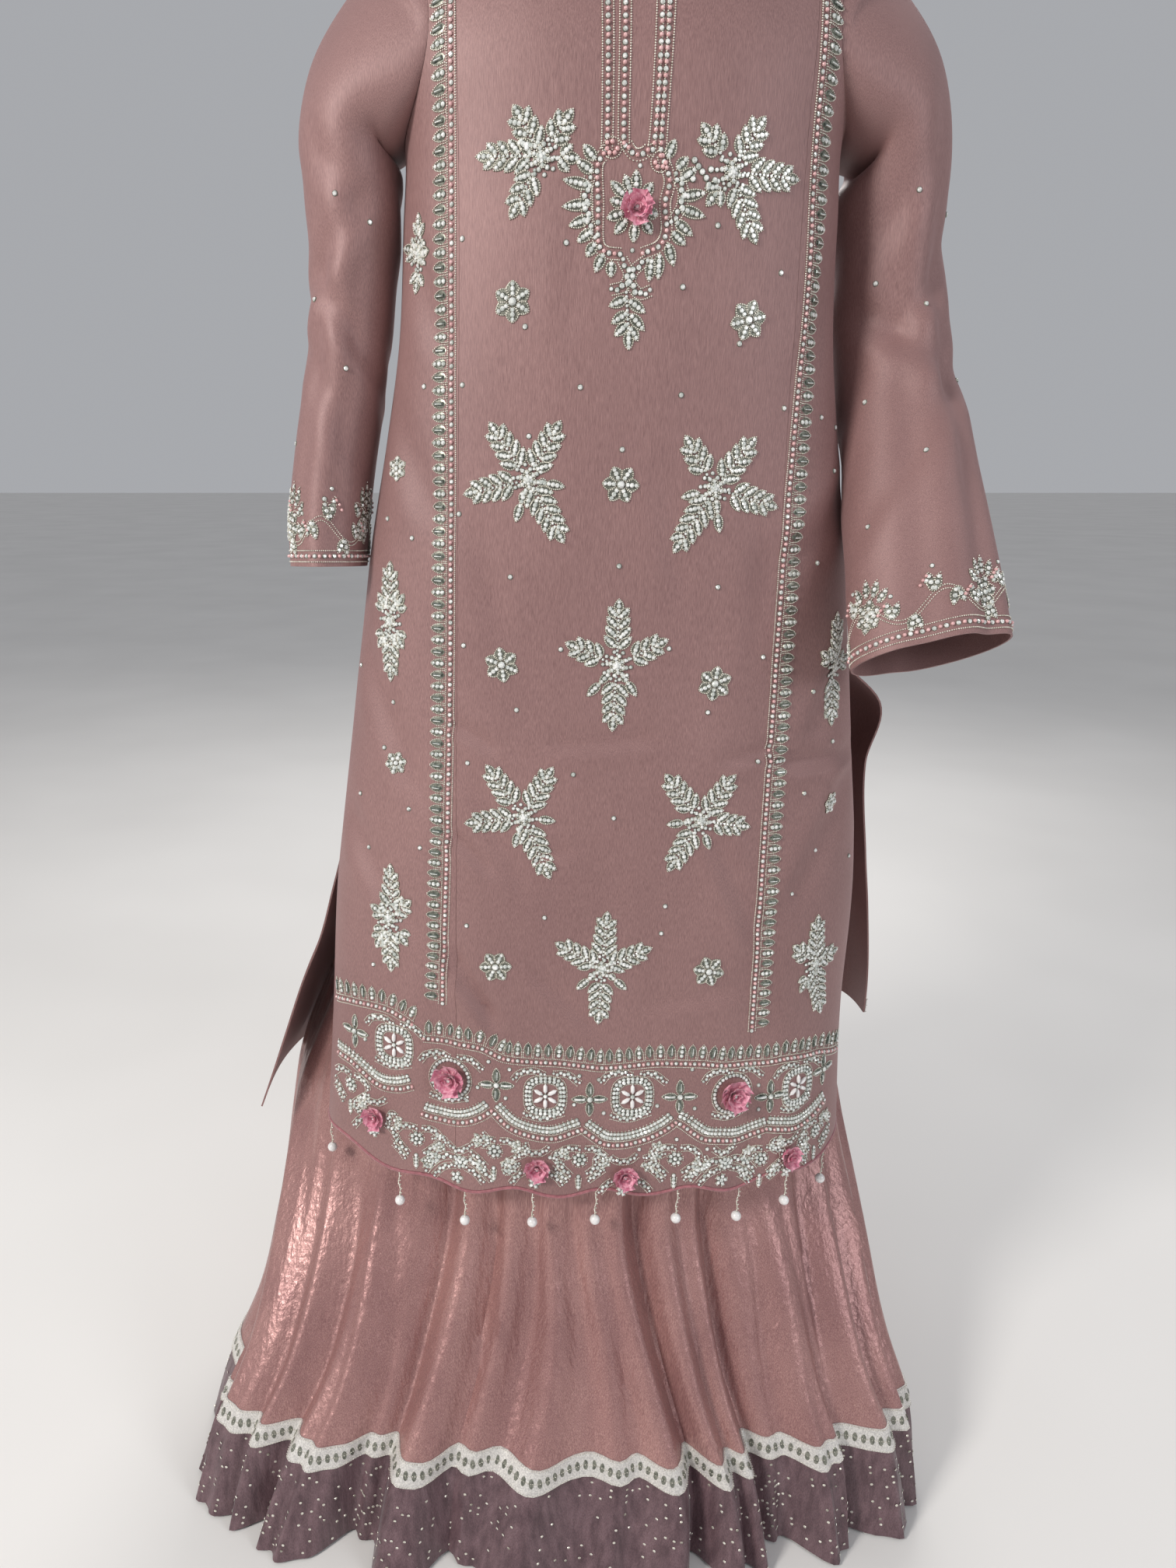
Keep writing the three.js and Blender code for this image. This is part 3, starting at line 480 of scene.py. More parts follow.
def cloth_point(face, angle, drop):
    """The tunic's surface with its creases, which fade out at the shoulders, neck and edges."""
    base = tunic_point(face, angle, drop)
    step = 0.002
    across = tunic_point(face, angle + step, drop) - tunic_point(face, angle - step, drop)
    down = tunic_point(face, angle, drop + 1) - tunic_point(face, angle, np.maximum(0, drop - 1))
    normal = unit(np.cross(across, down))
    normal = normal * np.where(normal[..., 1] * FACE_SIGN[face] < 0, -1, 1)[..., None]
    x = base[..., 0]
    half, _ = edge_of(face, angle, drop)
    calm = smooth(*SHOULDER_CALM, drop) * smooth(0, EDGE_CALM, half - np.abs(x))
    armhole = np.where(drop < ARMHOLE_DROP, armhole_x(drop) - np.abs(x), EDGE_CALM)
    calm = calm * smooth(0, EDGE_CALM, armhole)
    lift = crease_lift(FACE_CREASES[face], x, drop) + ripple(x, drop)
    return base + normal * (lift * calm)[..., None]


# Meshes

def grid_normals(points, closed):
    """Normals of a grid of points, out of the cloth where its columns run left to right on a front."""
    if closed:
        across = np.roll(points, -1, 1) - np.roll(points, 1, 1)
    else:
        across = np.gradient(points, axis=1)
    return unit(np.cross(np.gradient(points, axis=0), across))


def make_mesh(name, points, faces, material, sharp=50):
    mesh = bpy.data.meshes.new(name)
    mesh.from_pydata((np.asarray(points) * MM).tolist(), [], faces)
    mesh.materials.append(material)
    mesh.shade_smooth()
    if sharp:
        mesh.set_sharp_from_angle(angle=math.radians(sharp))
    piece = bpy.data.objects.new(name, mesh)
    bpy.context.scene.collection.objects.link(piece)
    return piece


def wall(name, outer, normals, thickness, closed, material):
    """A closed wall of cloth from a grid of outer points."""
    rows, columns = outer.shape[:2]
    inner = outer - normals * thickness
    points = np.concatenate([outer.reshape(-1, 3), inner.reshape(-1, 3)])
    index = np.arange(rows * columns).reshape(rows, columns)
    if closed:
        index = np.concatenate([index, index[:, :1]], 1)
    under = index + rows * columns
    quads = [
        (index[:-1, :-1], index[:-1, 1:], index[1:, 1:], index[1:, :-1]),
        (under[:-1, :-1], under[1:, :-1], under[1:, 1:], under[:-1, 1:]),
        (index[0, :-1], under[0, :-1], under[0, 1:], index[0, 1:]),
        (index[-1, :-1], index[-1, 1:], under[-1, 1:], under[-1, :-1]),
    ]
    if not closed:
        quads.append((index[:-1, 0], index[1:, 0], under[1:, 0], under[:-1, 0]))
        quads.append((index[:-1, -1], under[:-1, -1], under[1:, -1], index[1:, -1]))
    faces = np.concatenate([np.stack([part.ravel() for part in quad], -1) for quad in quads])
    piece = make_mesh(name, points, faces.tolist(), material)
    face_out(piece)
    return piece


def face_out(piece):
    """Turns a closed mesh's faces out."""
    mesh = piece.data
    mesh.calc_loop_triangles()
    corners = np.zeros(len(mesh.loop_triangles) * 3, int)
    mesh.loop_triangles.foreach_get("vertices", corners)
    points = np.zeros(len(mesh.vertices) * 3)
    mesh.vertices.foreach_get("co", points)
    a, b, c = np.moveaxis(points.reshape(-1, 3)[corners.reshape(-1, 3)], 1, 0)
    if np.sum(np.cross(a, b) * c) < 0:
        mesh.flip_normals()


# Materials

def linear(red, green, blue):
    """A colour given as screen values from 0 to 255, as the shader wants it."""
    channels = []
    for value in (red, green, blue):
        share = value / 255
        channels.append(share / 12.92 if share <= 0.04045 else ((share + 0.055) / 1.055) ** 2.4)
    return (*channels, 1.0)


class Shader:
    """A Principled material with a few helpers for its nodes."""

    def __init__(self, name, roughness, metallic=0.0, **inputs):
        self.material = bpy.data.materials.new(name)
        self.material.use_nodes = True
        self.nodes = self.material.node_tree.nodes
        self.links = self.material.node_tree.links
        self.surface = self.nodes["Principled BSDF"]
        self.surface.inputs["Roughness"].default_value = roughness
        self.surface.inputs["Metallic"].default_value = metallic
        for key, value in inputs.items():
            self.surface.inputs[key.replace("_", " ")].default_value = value
        self.place = self.nodes.new("ShaderNodeTexCoord").outputs["Object"]
        self.bumps = None

    def stretched(self, x, y, z):
        mapping = self.nodes.new("ShaderNodeMapping")
        mapping.inputs["Scale"].default_value = (x, y, z)
        self.links.new(self.place, mapping.inputs["Vector"])
        return mapping.outputs["Vector"]

    def noise(self, vector, scale, detail=3.0, roughness=0.55):
        node = self.nodes.new("ShaderNodeTexNoise")
        node.inputs["Scale"].default_value = scale
        node.inputs["Detail"].default_value = detail
        node.inputs["Roughness"].default_value = roughness
        self.links.new(vector, node.inputs["Vector"])
        return node.outputs["Fac"]

    def ramp(self, value, *stops):
        node = self.nodes.new("ShaderNodeValToRGB")
        band = node.color_ramp
        while len(band.elements) < len(stops):
            band.elements.new(0.5)
        for element, (position, colour) in zip(band.elements, stops):
            element.position = position
            element.color = colour
        self.links.new(value, node.inputs["Fac"])
        return node.outputs["Color"]

    def blend(self, kind, share, first, second):
        node = self.nodes.new("ShaderNodeMix")
        node.data_type = "RGBA"
        node.blend_type = kind
        node.inputs["Factor"].default_value = share
        self.links.new(first, node.inputs["A"])
        self.links.new(second, node.inputs["B"])
        return node.outputs["Result"]

    def colour(self, socket):
        self.links.new(socket, self.surface.inputs["Base Color"])

    def spread(self, value, low, high, name="Roughness"):
        node = self.nodes.new("ShaderNodeMapRange")
        node.inputs["To Min"].default_value = low
        node.inputs["To Max"].default_value = high
        self.links.new(value, node.inputs["Value"])
        self.links.new(node.outputs["Result"], self.surface.inputs[name])

    def bump(self, value, distance, strength=1.0):
        """Adds relief of a height in metres."""
        node = self.nodes.new("ShaderNodeBump")
        node.inputs["Distance"].default_value = distance
        node.inputs["Strength"].default_value = strength
        self.links.new(value, node.inputs["Height"])
        if self.bumps:
            self.links.new(self.bumps, node.inputs["Normal"])
        self.bumps = node.outputs["Normal"]
        self.links.new(self.bumps, self.surface.inputs["Normal"])


def tunic_material():
    """Crepe silk: dusty mauve rose, with fine upright threads, a slight unevenness and a satin sheen."""
    shader = Shader("tunic_cloth", 0.52, 0.12, Sheen_Weight=0.4, Sheen_Roughness=0.4)
    shader.surface.inputs["Sheen Tint"].default_value = linear(215, 178, 178)
    threads = shader.noise(shader.stretched(1, 1, 0.06), 2300, 3)
    clouds = shader.noise(shader.stretched(1, 1, 0.5), 9, 2)
    base = shader.ramp(
        threads, (0.3, linear(130, 97, 95)), (0.5, linear(149, 114, 111)), (0.7, linear(166, 130, 126))
    )
    cloud = shader.ramp(clouds, (0.3, linear(236, 234, 235)), (0.7, linear(255, 255, 255)))
    shader.colour(shader.blend("MULTIPLY", 1.0, base, cloud))
    shader.spread(threads, 0.44, 0.62)
    shader.bump(threads, 0.0003, 0.6)
    shader.bump(shader.noise(shader.place, 2600, 2), 0.0001, 0.5)
    return shader.material


def shalwar_material():
    """Tissue silk: salmon pink with a metallic shimmer, long soft crinkles and fine upright threads."""
    shader = Shader("shalwar_tissue", 0.36, 0.4, Sheen_Weight=0.15, Sheen_Roughness=0.35)
    crinkle = shader.noise(shader.stretched(1, 1, 0.05), 190, 2, 0.5)
    threads = shader.noise(shader.stretched(1, 1, 0.02), 1500, 3)
    clouds = shader.noise(shader.stretched(1, 1, 0.25), 14, 3)
    base = shader.ramp(
        threads, (0.3, linear(150, 109, 107)), (0.52, linear(178, 135, 130)), (0.72, linear(206, 164, 155))
    )
    cloud = shader.ramp(clouds, (0.3, linear(222, 216, 220)), (0.7, linear(255, 255, 255)))
    shader.colour(shader.blend("MULTIPLY", 1.0, base, cloud))
    shader.spread(crinkle, 0.46, 0.26)
    shader.bump(crinkle, 0.0014, 0.8)
    shader.bump(threads, 0.0002, 0.5)
    return shader.material


def organza_material():
    """Organza: plum brown, thin and crisp, with fine gathers whose hollows are painted darker as shade."""
    shader = Shader("organza", 0.42, 0.1, Sheen_Weight=0.4, Sheen_Roughness=0.3)
    mesh = shader.noise(shader.stretched(1, 1, 0.15), 1400, 3)
    folds = shader.noise(shader.stretched(1, 1, 0.1), 120, 3)
    # Colour from the same noise as the gathers' relief: the organza's own plum brown, with painted shade
    # darkening it in the hollows of the gathers
    base = shader.ramp(folds, (0.3, linear(92, 70, 75)), (0.7, linear(130, 104, 109)))
    fine = shader.ramp(mesh, (0.35, linear(210, 205, 207)), (0.65, linear(255, 255, 255)))
    shader.colour(shader.blend("MULTIPLY", 1.0, base, fine))
    shader.bump(folds, 0.0012, 0.8)
    shader.bump(mesh, 0.0002, 0.6)
    return shader.material


def plain_material(name, first, second, roughness, metallic, scale, **inputs):
    """A small hard trim whose colour wanders a little between two colours."""
    shader = Shader(name, roughness, metallic, **inputs)
    value = shader.noise(shader.place, scale, 2)
    shader.colour(shader.ramp(value, (0.35, linear(*first)), (0.65, linear(*second))))
    shader.spread(value, roughness * 0.8, roughness * 1.2)
    shader.bump(shader.noise(shader.place, scale * 6, 2), 0.00005, 0.3)
    return shader.material


TUNIC = tunic_material()
SHALWAR = shalwar_material()
ORGANZA = organza_material()
LACE = plain_material("silver_lace", (196, 192, 188), (232, 228, 222), 0.4, 0.3, 700)
SILVER = plain_material("silver_bead", (204, 200, 184), (252, 248, 236), 0.24, 0.35, 420)
CRYSTAL = plain_material("crystal", (188, 194, 187), (255, 255, 252), 0.08, 0.08, 260, Coat_Weight=0.8)
DARK = plain_material("dark_crystal", (72, 80, 74), (140, 146, 136), 0.14, 0.35, 400, Coat_Weight=0.6)
PEARL = plain_material("seed_pearl", (230, 226, 224), (246, 244, 242), 0.2, 0.0, 150, Coat_Weight=0.7)
PINK = plain_material("pink_bead", (212, 162, 162), (238, 196, 194), 0.25, 0.05, 300, Coat_Weight=0.5)
FOIL = plain_material("antique_foil", (100, 102, 92), (150, 150, 138), 0.35, 0.45, 400)
ROSE_CLOTH = plain_material("rose_binding", (142, 84, 90), (168, 104, 110), 0.6, 0.0, 300, Sheen_Weight=0.4)
ROSE = plain_material("rosette_pink", (200, 108, 136), (242, 178, 194), 0.5, 0.0, 210, Sheen_Weight=0.5)


def dress(piece, slot, *nodes):
    """A finished piece: it moves with the one body, and stands for these CAD nodes."""
    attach(piece, "root")
    if nodes:
        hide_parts(*nodes)
    return piece


# Tunic panels

SHOULDER_ROWS = 30
BODY_ROW = 7.0


def tunic_drops():
    turn = np.linspace(0, np.pi, SHOULDER_ROWS + 1)
    shoulder = ARMHOLE_DROP * (1 - np.cos(turn)) / 2
    body = np.linspace(ARMHOLE_DROP, HEM_DROP, round((HEM_DROP - ARMHOLE_DROP) / BODY_ROW) + 1)
    return np.concatenate([shoulder, body[1:]])


DROPS = tunic_drops()


def neck_top(x, depth):
    return depth * np.sqrt(np.maximum(0, 1 - (x / NECK_HALF_WIDTH) ** 2))


def centre_columns(depth, steps, seam_steps, outer_x):
    """Top drop, and share of the panel's half width, of each column from the left to the right."""
    seam = np.linspace(NECK_HALF_WIDTH, outer_x, seam_steps + 1)[1:]
    neck = NECK_HALF_WIDTH * np.sin(np.linspace(-QUARTER, QUARTER, steps + 1))
    x = np.concatenate([-seam[::-1], neck, seam])
    top = np.where(np.abs(x) < NECK_HALF_WIDTH - 1e-6, neck_top(x, depth), 0)
    return top, x / outer_x


def edge_angle(face, side, drop):
    sign = SIDE_SIGN[side]
    armhole = angle_at(face, sign * armhole_x(drop), drop)
    return np.where(np.asarray(drop) < ARMHOLE_DROP, armhole, sign * QUARTER)


def panel_grid(face, top, angle_of):
    """Drops and angles of a panel whose columns have their own tops, down to the shaped hem."""
    level = top[None, :] + DROPS[:, None] * (HEM_DROP - top[None, :]) / HEM_DROP
    x = tunic_point(face, angle_of(level), level)[..., 0]
    reach = smooth(SLIT_TOP["left"], HEM_DROP, DROPS)[:, None]
    drop = level - hem_lift(face, x) * reach
    return angle_of(drop), drop


def tunic_panel(name, face, top, angle_of):
    """A panel with half a seam's gap at both sides and along the shoulder, where its columns start at 0."""
    angle, drop = panel_grid(face, top, angle_of)
    outer = cloth_point(face, angle, drop)
    normals = grid_normals(outer, False)
    outwards = FACE_SIGN[face]
    if np.mean(normals[..., 1]) * outwards < 0:
        normals = -normals
    across = unit(np.gradient(outer, axis=1))
    outer[:, 0] += across[:, 0] * SEAM_GAP / 2
    outer[:, -1] -= across[:, -1] * SEAM_GAP / 2
    outer[0, top == 0, 1] += outwards * SEAM_GAP / 2
    piece = wall(name, outer, normals, TUNIC_WALL, False, TUNIC)
    return piece, outer, normals


NECK_STEPS = 36
SEAM_STEPS = 10
SIDE_STEPS = 22
BACK_NECK_STEPS = 30
BACK_SEAM_STEPS = 24


def front_centre():
    top, share = centre_columns(NECK_FRONT_DEPTH, NECK_STEPS, SEAM_STEPS, float(section("panel", 0)))

    def angle_of(drop):
        return angle_at("front", share[None, :] * section("panel", drop), drop)

    return tunic_panel("kameez_front_center_cloth", "front", top, angle_of)


def front_side(side):
    sign = SIDE_SIGN[side]
    share = np.linspace(0, 1, SIDE_STEPS + 1)
    if side == "left":
        share = share[::-1]

    def angle_of(drop):
        seam = angle_at("front", sign * section("panel", drop), drop)
        return mix(seam, edge_angle("front", side, drop), share[None, :])

    top = np.zeros(SIDE_STEPS + 1)
    return tunic_panel(f"kameez_front_side_{side}_cloth", "front", top, angle_of)


def back_panel():
    top, share = centre_columns(NECK_BACK_DEPTH, BACK_NECK_STEPS, BACK_SEAM_STEPS, SHOULDER_HALF_WIDTH)
    even = np.linspace(-QUARTER, QUARTER, len(share))

    def angle_of(drop):
        edge = np.where(drop < ARMHOLE_DROP, armhole_x(drop), section("half", drop))
        capped = np.minimum(drop, SLIT_TOP["right"])
        straight = angle_at("back", share[None, :] * edge, capped)
        angle = mix(straight, even[None, :], smooth(ARMHOLE_DROP, SLIT_TOP["right"], drop))
        angle[:, 0] = edge_angle("back", "left", drop[:, 0])
        angle[:, -1] = edge_angle("back", "right", drop[:, -1])
        return angle

    return tunic_panel("kameez_back_cloth", "back", top, angle_of)


centre_cloth, centre_points, centre_normals = front_centre()
left_cloth, left_points, left_normals = front_side("left")
right_cloth, right_points, right_normals = front_side("right")
back_cloth, back_points, back_normals = back_panel()
dress(centre_cloth, "tunic_cloth", "kameez_front_center")
dress(left_cloth, "tunic_cloth", "kameez_front_side_left")
dress(right_cloth, "tunic_cloth", "kameez_front_side_right")
dress(back_cloth, "tunic_cloth", "kameez_back")


def edge_ring(points, normals, target, towards):
    """The direction in the cloth across a ring of edge points, towards a target or away from it."""
    along_ring = np.roll(points, -1, 0) - np.roll(points, 1, 0)
    outwards = unit(np.cross(along_ring, normals))
    facing = np.sum(outwards * (target - points), -1)
    return outwards * np.where(facing * towards < 0, -1, 1)[:, None]


NECK_ROWS = 7
NECK_ROLL = 0.6


def neck_binding():
    front = slice(SEAM_STEPS, SEAM_STEPS + NECK_STEPS + 1)
    behind = slice(BACK_SEAM_STEPS + BACK_NECK_STEPS - 1, BACK_SEAM_STEPS, -1)
    points = np.concatenate([centre_points[0, front], back_points[0, behind]])
    normals = np.concatenate([centre_normals[0, front], back_normals[0, behind]])
    outwards = edge_ring(points, normals, np.array((0, 0, 2.0 * NECK_BINDING)), 1)
    steps = np.linspace(SEAM_GAP, SEAM_GAP + NECK_BINDING, NECK_ROWS)
    roll = NECK_ROLL * np.sin(np.linspace(0, np.pi, NECK_ROWS))
    rows = np.stack([points + outwards * step + normals * lift for step, lift in zip(steps, roll)])
    directions = np.stack([normals] * NECK_ROWS)
    return wall("neck_binding_cloth", rows, directions, BINDING_WALL, True, TUNIC)


neck_cloth = neck_binding()
dress(neck_cloth, "tunic_cloth", "neck_binding")


# Sleeves

SLEEVE_RING = 120
SLEEVE_ROWS = 110


def sleeve_ring_start(side):
    """Points and normals on the armhole's edge, from the shoulder down the front and up the back."""
    sign = SIDE_SIGN[side]
    step = np.arange(SLEEVE_RING) / SLEEVE_RING * 2 * ARMHOLE_STEPS
    front = step <= ARMHOLE_STEPS
    down = np.where(front, step, 2 * ARMHOLE_STEPS - step)
    drop = ARMHOLE_DROP * (1 - np.cos(np.pi * down / ARMHOLE_STEPS)) / 2
    points = np.zeros((SLEEVE_RING, 3))
    normals = np.zeros((SLEEVE_RING, 3))
    for face, chosen in (("front", front), ("back", ~front)):
        here = drop[chosen]
        angle = angle_at(face, sign * armhole_x(here), here)
        point = tunic_point(face, angle, here)
        across = unit(tunic_point(face, angle + 0.001, here) - tunic_point(face, angle - 0.001, here))
        below = tunic_point(face, angle, here + 0.01) - tunic_point(face, angle, np.maximum(0, here - 0.01))
        normal = unit(np.cross(across, below))
        normal = normal * np.where(normal[:, 1] * FACE_SIGN[face] < 0, -1, 1)[:, None]
        points[chosen] = point - across * sign * SEAM_GAP / 2
        normals[chosen] = normal
    points[0, 1] = 0
    points[SLEEVE_RING // 2, 1] = 0
    return points, normals, step


def tunic_side_x(y, z):
    drop = -z
    depth = np.where(y < 0, section("front", drop), section("back", drop))
    share = np.minimum(1, np.abs(y) / depth)
    return section("half", drop) * (1 - share ** ROUNDNESS) ** (1 / ROUNDNESS)


# Sleeve creases: along the sleeve as a share of its length, round it in steps of the armhole, the steps
# round for each 1/24 of the length, width as a share, spread in steps, and depth. Each has a ridge too.
SLANT_PART = 24
SLEEVE_RIDGE_PLACE = 1.8
SLEEVE_RIDGE_SHARE = 0.55
SLEEVE_CALM = (0.02, 0.16)
SLEEVE_FOLD_STRENGTH = 0.7
SLEEVE_CREASES = {
    "left": table(
        "share column slant width spread depth",
        (0.26, 4, 1.5, 0.040, 3.4, 2.0), (0.40, 3, -1.6, 0.036, 3.6, 3.0), (0.50, 5, 1.4, 0.034, 3.6, 3.2),
        (0.60, 3, 1.7, 0.032, 3.4, 2.4), (0.72, 6, 1.8, 0.030, 3.0, 1.6), (0.37, 13, 1.6, 0.038, 4.0, 2.8),
        (0.50, 15, -1.6, 0.036, 4.0, 3.2), (0.64, 13, 1.8, 0.034, 3.6, 2.2),
    ),
    "right": table(
        "share column slant width spread depth",
        (0.24, 5, 1.5, 0.040, 3.6, 2.2), (0.36, 3, 1.4, 0.038, 3.8, 3.0), (0.47, 6, -1.7, 0.036, 3.6, 3.4),
        (0.57, 3, 1.6, 0.034, 3.6, 3.0), (0.69, 6, 1.7, 0.032, 3.2, 2.0), (0.40, 13, 1.6, 0.040, 4.2, 2.8),
        (0.52, 16, -1.6, 0.038, 4.0, 3.2), (0.66, 13, 1.8, 0.034, 3.6, 2.4),
    ),
}


def sleeve_grid(side):
    sign = SIDE_SIGN[side]
    points, normals, step = sleeve_ring_start(side)
    every = SLEEVE_RING // (2 * ARMHOLE_STEPS)
    centre = points[::every].mean(0)
    opening = centre + np.array((sign * ARMHOLE_REACH, 0, 0))
    outwards = edge_ring(points, normals, opening, 1)
    start = (abs(centre[0]), centre[1], centre[2]) + SLEEVES[side][0][3:]
    rows = [start, *SLEEVES[side]]
    stations = table("step " + SLEEVE_COLUMNS, *((i, *row) for i, row in enumerate(rows)))
    last = len(stations["step"]) - 1
    under = smooth(UNDERARM_SHARE, 1, 1 - np.abs(step / ARMHOLE_STEPS - 1))
    ring = points + outwards * SEAM_GAP + normals * (UNDERARM_GAP * under)[:, None]
    rows = [ring]
    turn = np.pi * step / ARMHOLE_STEPS
    trough = np.zeros(SLEEVE_RING)
    for column, depth in zip(*SLEEVE_FOLDS[side].values()):
        trough += SLEEVE_FOLD_STRENGTH * depth * np.exp(-(((step - column) / SLEEVE_FOLD_SPREAD) ** 2))
    for r in range(1, SLEEVE_ROWS + 1):
        share = r / SLEEVE_ROWS
        at = {name: float(along(stations, "step", name, share * last)) for name in SLEEVE_COLUMNS.split()}
        turned = float(smooth(0, SLEEVE_BLEND, share))
        pull = trough * smooth(0, SLEEVE_FOLD_START, share)
        for place, column, slant, width, spread, depth in zip(*SLEEVE_CREASES[side].values()):
            apart = (step - column + ARMHOLE_STEPS) % (2 * ARMHOLE_STEPS) - ARMHOLE_STEPS
            offset = (share - place - apart / (slant * SLANT_PART)) / width
            ridge = SLEEVE_RIDGE_SHARE * np.exp(-((offset - SLEEVE_RIDGE_PLACE) ** 2))
            body = np.exp(-(offset ** 2)) - ridge
            pull = pull + CREASE_STRENGTH * depth * body * np.exp(-((apart / spread) ** 2))
        pull = pull * float(smooth(*SLEEVE_CALM, share))
        across = (at["across"] - pull) * np.cos(turn)
        ahead = (at["deep"] - pull) * np.sin(turn)
        lift = at["tilt"] * across + at["lean"] * ahead
        round_ring = np.stack([sign * across, -ahead, lift], -1)
        middle = np.array((sign * at["x"], at["y"], at["z"]))
        point = middle + mix(points - centre, round_ring, turned)
        clearance = SLEEVE_CLEARANCE * float(smooth(0, SLEEVE_CLEARANCE_START, share))
        side_x = tunic_side_x(point[:, 1], point[:, 2]) + clearance
        point[:, 0] = np.where(sign * point[:, 0] < side_x, sign * side_x, point[:, 0])
        rows.append(point)
    return np.stack(rows)


def ring_directions(rows, level=False):
    normals = grid_normals(rows, True)
    if level:
        normals = unit(normals * np.array((1, 1, 0)))
    centre = rows.mean(1, keepdims=True)
    if np.sum(normals * (rows - centre)) < 0:
        normals = -normals
    return normals


# Each sleeve's cloth, as a closed wall round its grid
sleeve_points = {}
sleeve_normals = {}
for sleeve_side in SIDE_SIGN:
    sleeve_rows = sleeve_grid(sleeve_side)
    sleeve_points[sleeve_side] = sleeve_rows
    sleeve_normals[sleeve_side] = ring_directions(sleeve_rows)
    sleeve_cloth = wall(
        f"sleeve_{sleeve_side}_cloth", sleeve_rows, sleeve_normals[sleeve_side], SLEEVE_WALL, True, TUNIC
    )
    dress(sleeve_cloth, "tunic_cloth", f"sleeve_{sleeve_side}")


# Shalwar

FOLD_COLUMNS = 9


def skirt_point(angle, z, depth):
    """The shalwar's outer surface: 0 is the centre front, and angles grow towards +X."""
    at = {name: along(SKIRT_SECTIONS, "z", name, z) for name in "x y half front back bend fold".split()}
    ahead = np.cos(angle) >= 0
    reach = np.abs(np.where(ahead, at["front"], at["back"]) - at["y"])
    front_share = smooth(-SKIRT_SIDE_TURN, SKIRT_SIDE_TURN, np.cos(angle))
    power = 2 / mix(SKIRT_BACK_ROUNDNESS, at["bend"], front_share)
    pull = depth * at["fold"]
    x = at["x"] + (at["half"] - pull) * signed_power(np.sin(angle), power)
    y = at["y"] - (reach - pull) * signed_power(np.cos(angle), power)
    return np.stack([x, y, z + 0 * x], -1)


def skirt_columns():
    """Angles and valley depths all round, a few columns for each fold."""
    share = (FRONT_SKIRT_FOLDS["x"] - FOLD_REFERENCE["x"]) / FOLD_REFERENCE["half"]
    angles = list(np.arcsin(share))
    depths = list(FRONT_SKIRT_FOLDS["depth"])
    start, end = angles[-1], angles[0] + 2 * math.pi
    for i in range(1, BACK_FOLD_COUNT + 1):
        angles.append(mix(start, end, i / (BACK_FOLD_COUNT + 1)))
        depths.append(BACK_FOLD_DEPTHS[i % len(BACK_FOLD_DEPTHS)])
    angles.append(angles[0] + 2 * math.pi)
    depths.append(depths[0])
    column_angles = []
    column_depths = []
    for i in range(len(angles) - 1):
        for k in range(FOLD_COLUMNS):
            t = k / FOLD_COLUMNS
            column_angles.append(mix(angles[i], angles[i + 1], t))
            column_depths.append(mix(depths[i], depths[i + 1], t) * math.cos(math.pi * t) ** 2)
    return np.array(column_angles), np.array(column_depths)


PLEAT_ANGLES, PLEAT_DEPTHS = skirt_columns()

# Broad hollows of the shalwar: degrees round from the centre front, width in degrees, depth, the height
# where each fades in, and its drift in degrees on the way down to the lace
SKIRT_HOLLOWS = table(
    "turn width depth top drift",
    (-62, 3.0, 13, -1130, 2), (-53, 2.0, 9, -1170, 1), (-46, 3.2, 18, -1080, -3), (-37, 2.2, 14, -1120, 2),
    (-28, 4.0, 30, -1090, -2), (-19, 2.2, 20, -1130, 2), (-10, 3.8, 20, -1150, -2), (-1, 2.8, 16, -1120, 1),
    (6, 2.0, 13, -1180, -1), (13, 2.4, 24, -1090, 1), (20.5, 1.8, 14, -1170, 1), (27, 4.2, 31, -1110, 2),
    (38, 2.6, 19, -1130, -2), (45, 2.2, 14, -1170, 2), (52, 3.0, 19, -1100, -2), (62, 3.2, 14, -1140, 3),
    (75, 5, 13, -1000, 3), (96, 6, 13, -900, -4), (118, 5, 15, -1000, 4), (140, 6, 14, -860, -5),
    (163, 5, 16, -980, 4), (186, 6, 14, -900, -4), (208, 5, 15, -1010, 5), (230, 6, 14, -880, -4),
    (252, 5, 13, -1000, 4), (276, 6, 12, -940, -4),
)
HOLLOW_FADE = 190


def hollows(angle, z):
    """How far the broad hollows draw the cloth in."""
    degrees = np.degrees(angle)
    pull = 0
    for turn, width, depth, top, drift in zip(*SKIRT_HOLLOWS.values()):
        middle = turn + drift * (z - top) / (LACE_TOP - top)
        apart = (degrees - middle + 180) % 360 - 180
        pull = pull + depth * np.exp(-((apart / width) ** 2)) * smooth(top + 30, top - HOLLOW_FADE, z)
    return pull


def crinkle(angle, z, amount):
    """Small upright crinkles between the folds, which wander as they run down."""
    drift = 0.03 * np.sin(z / 97 + 3 * angle) + 0.014 * np.sin(z / 41 + 7 * angle)
    fine = np.sin(61 * (angle + drift)) * (0.5 + 0.5 * np.sin(z / 67 + 5 * angle))
    finer = np.sin(97 * (angle + 1.3 * drift) + 1.7) * (0.5 + 0.5 * np.sin(z / 53 + 11 * angle))
    return amount * (fine + 0.5 * finer)


# Heights where the sway and the crinkles of the cloth fade in, and the folds' depth and its variation
SWAY_HEIGHTS = (-900, -1300)
CRINKLE_HEIGHTS = (-560, -900)
FOLD_STRENGTH = 0.56
FOLD_VARIATION = 0.26


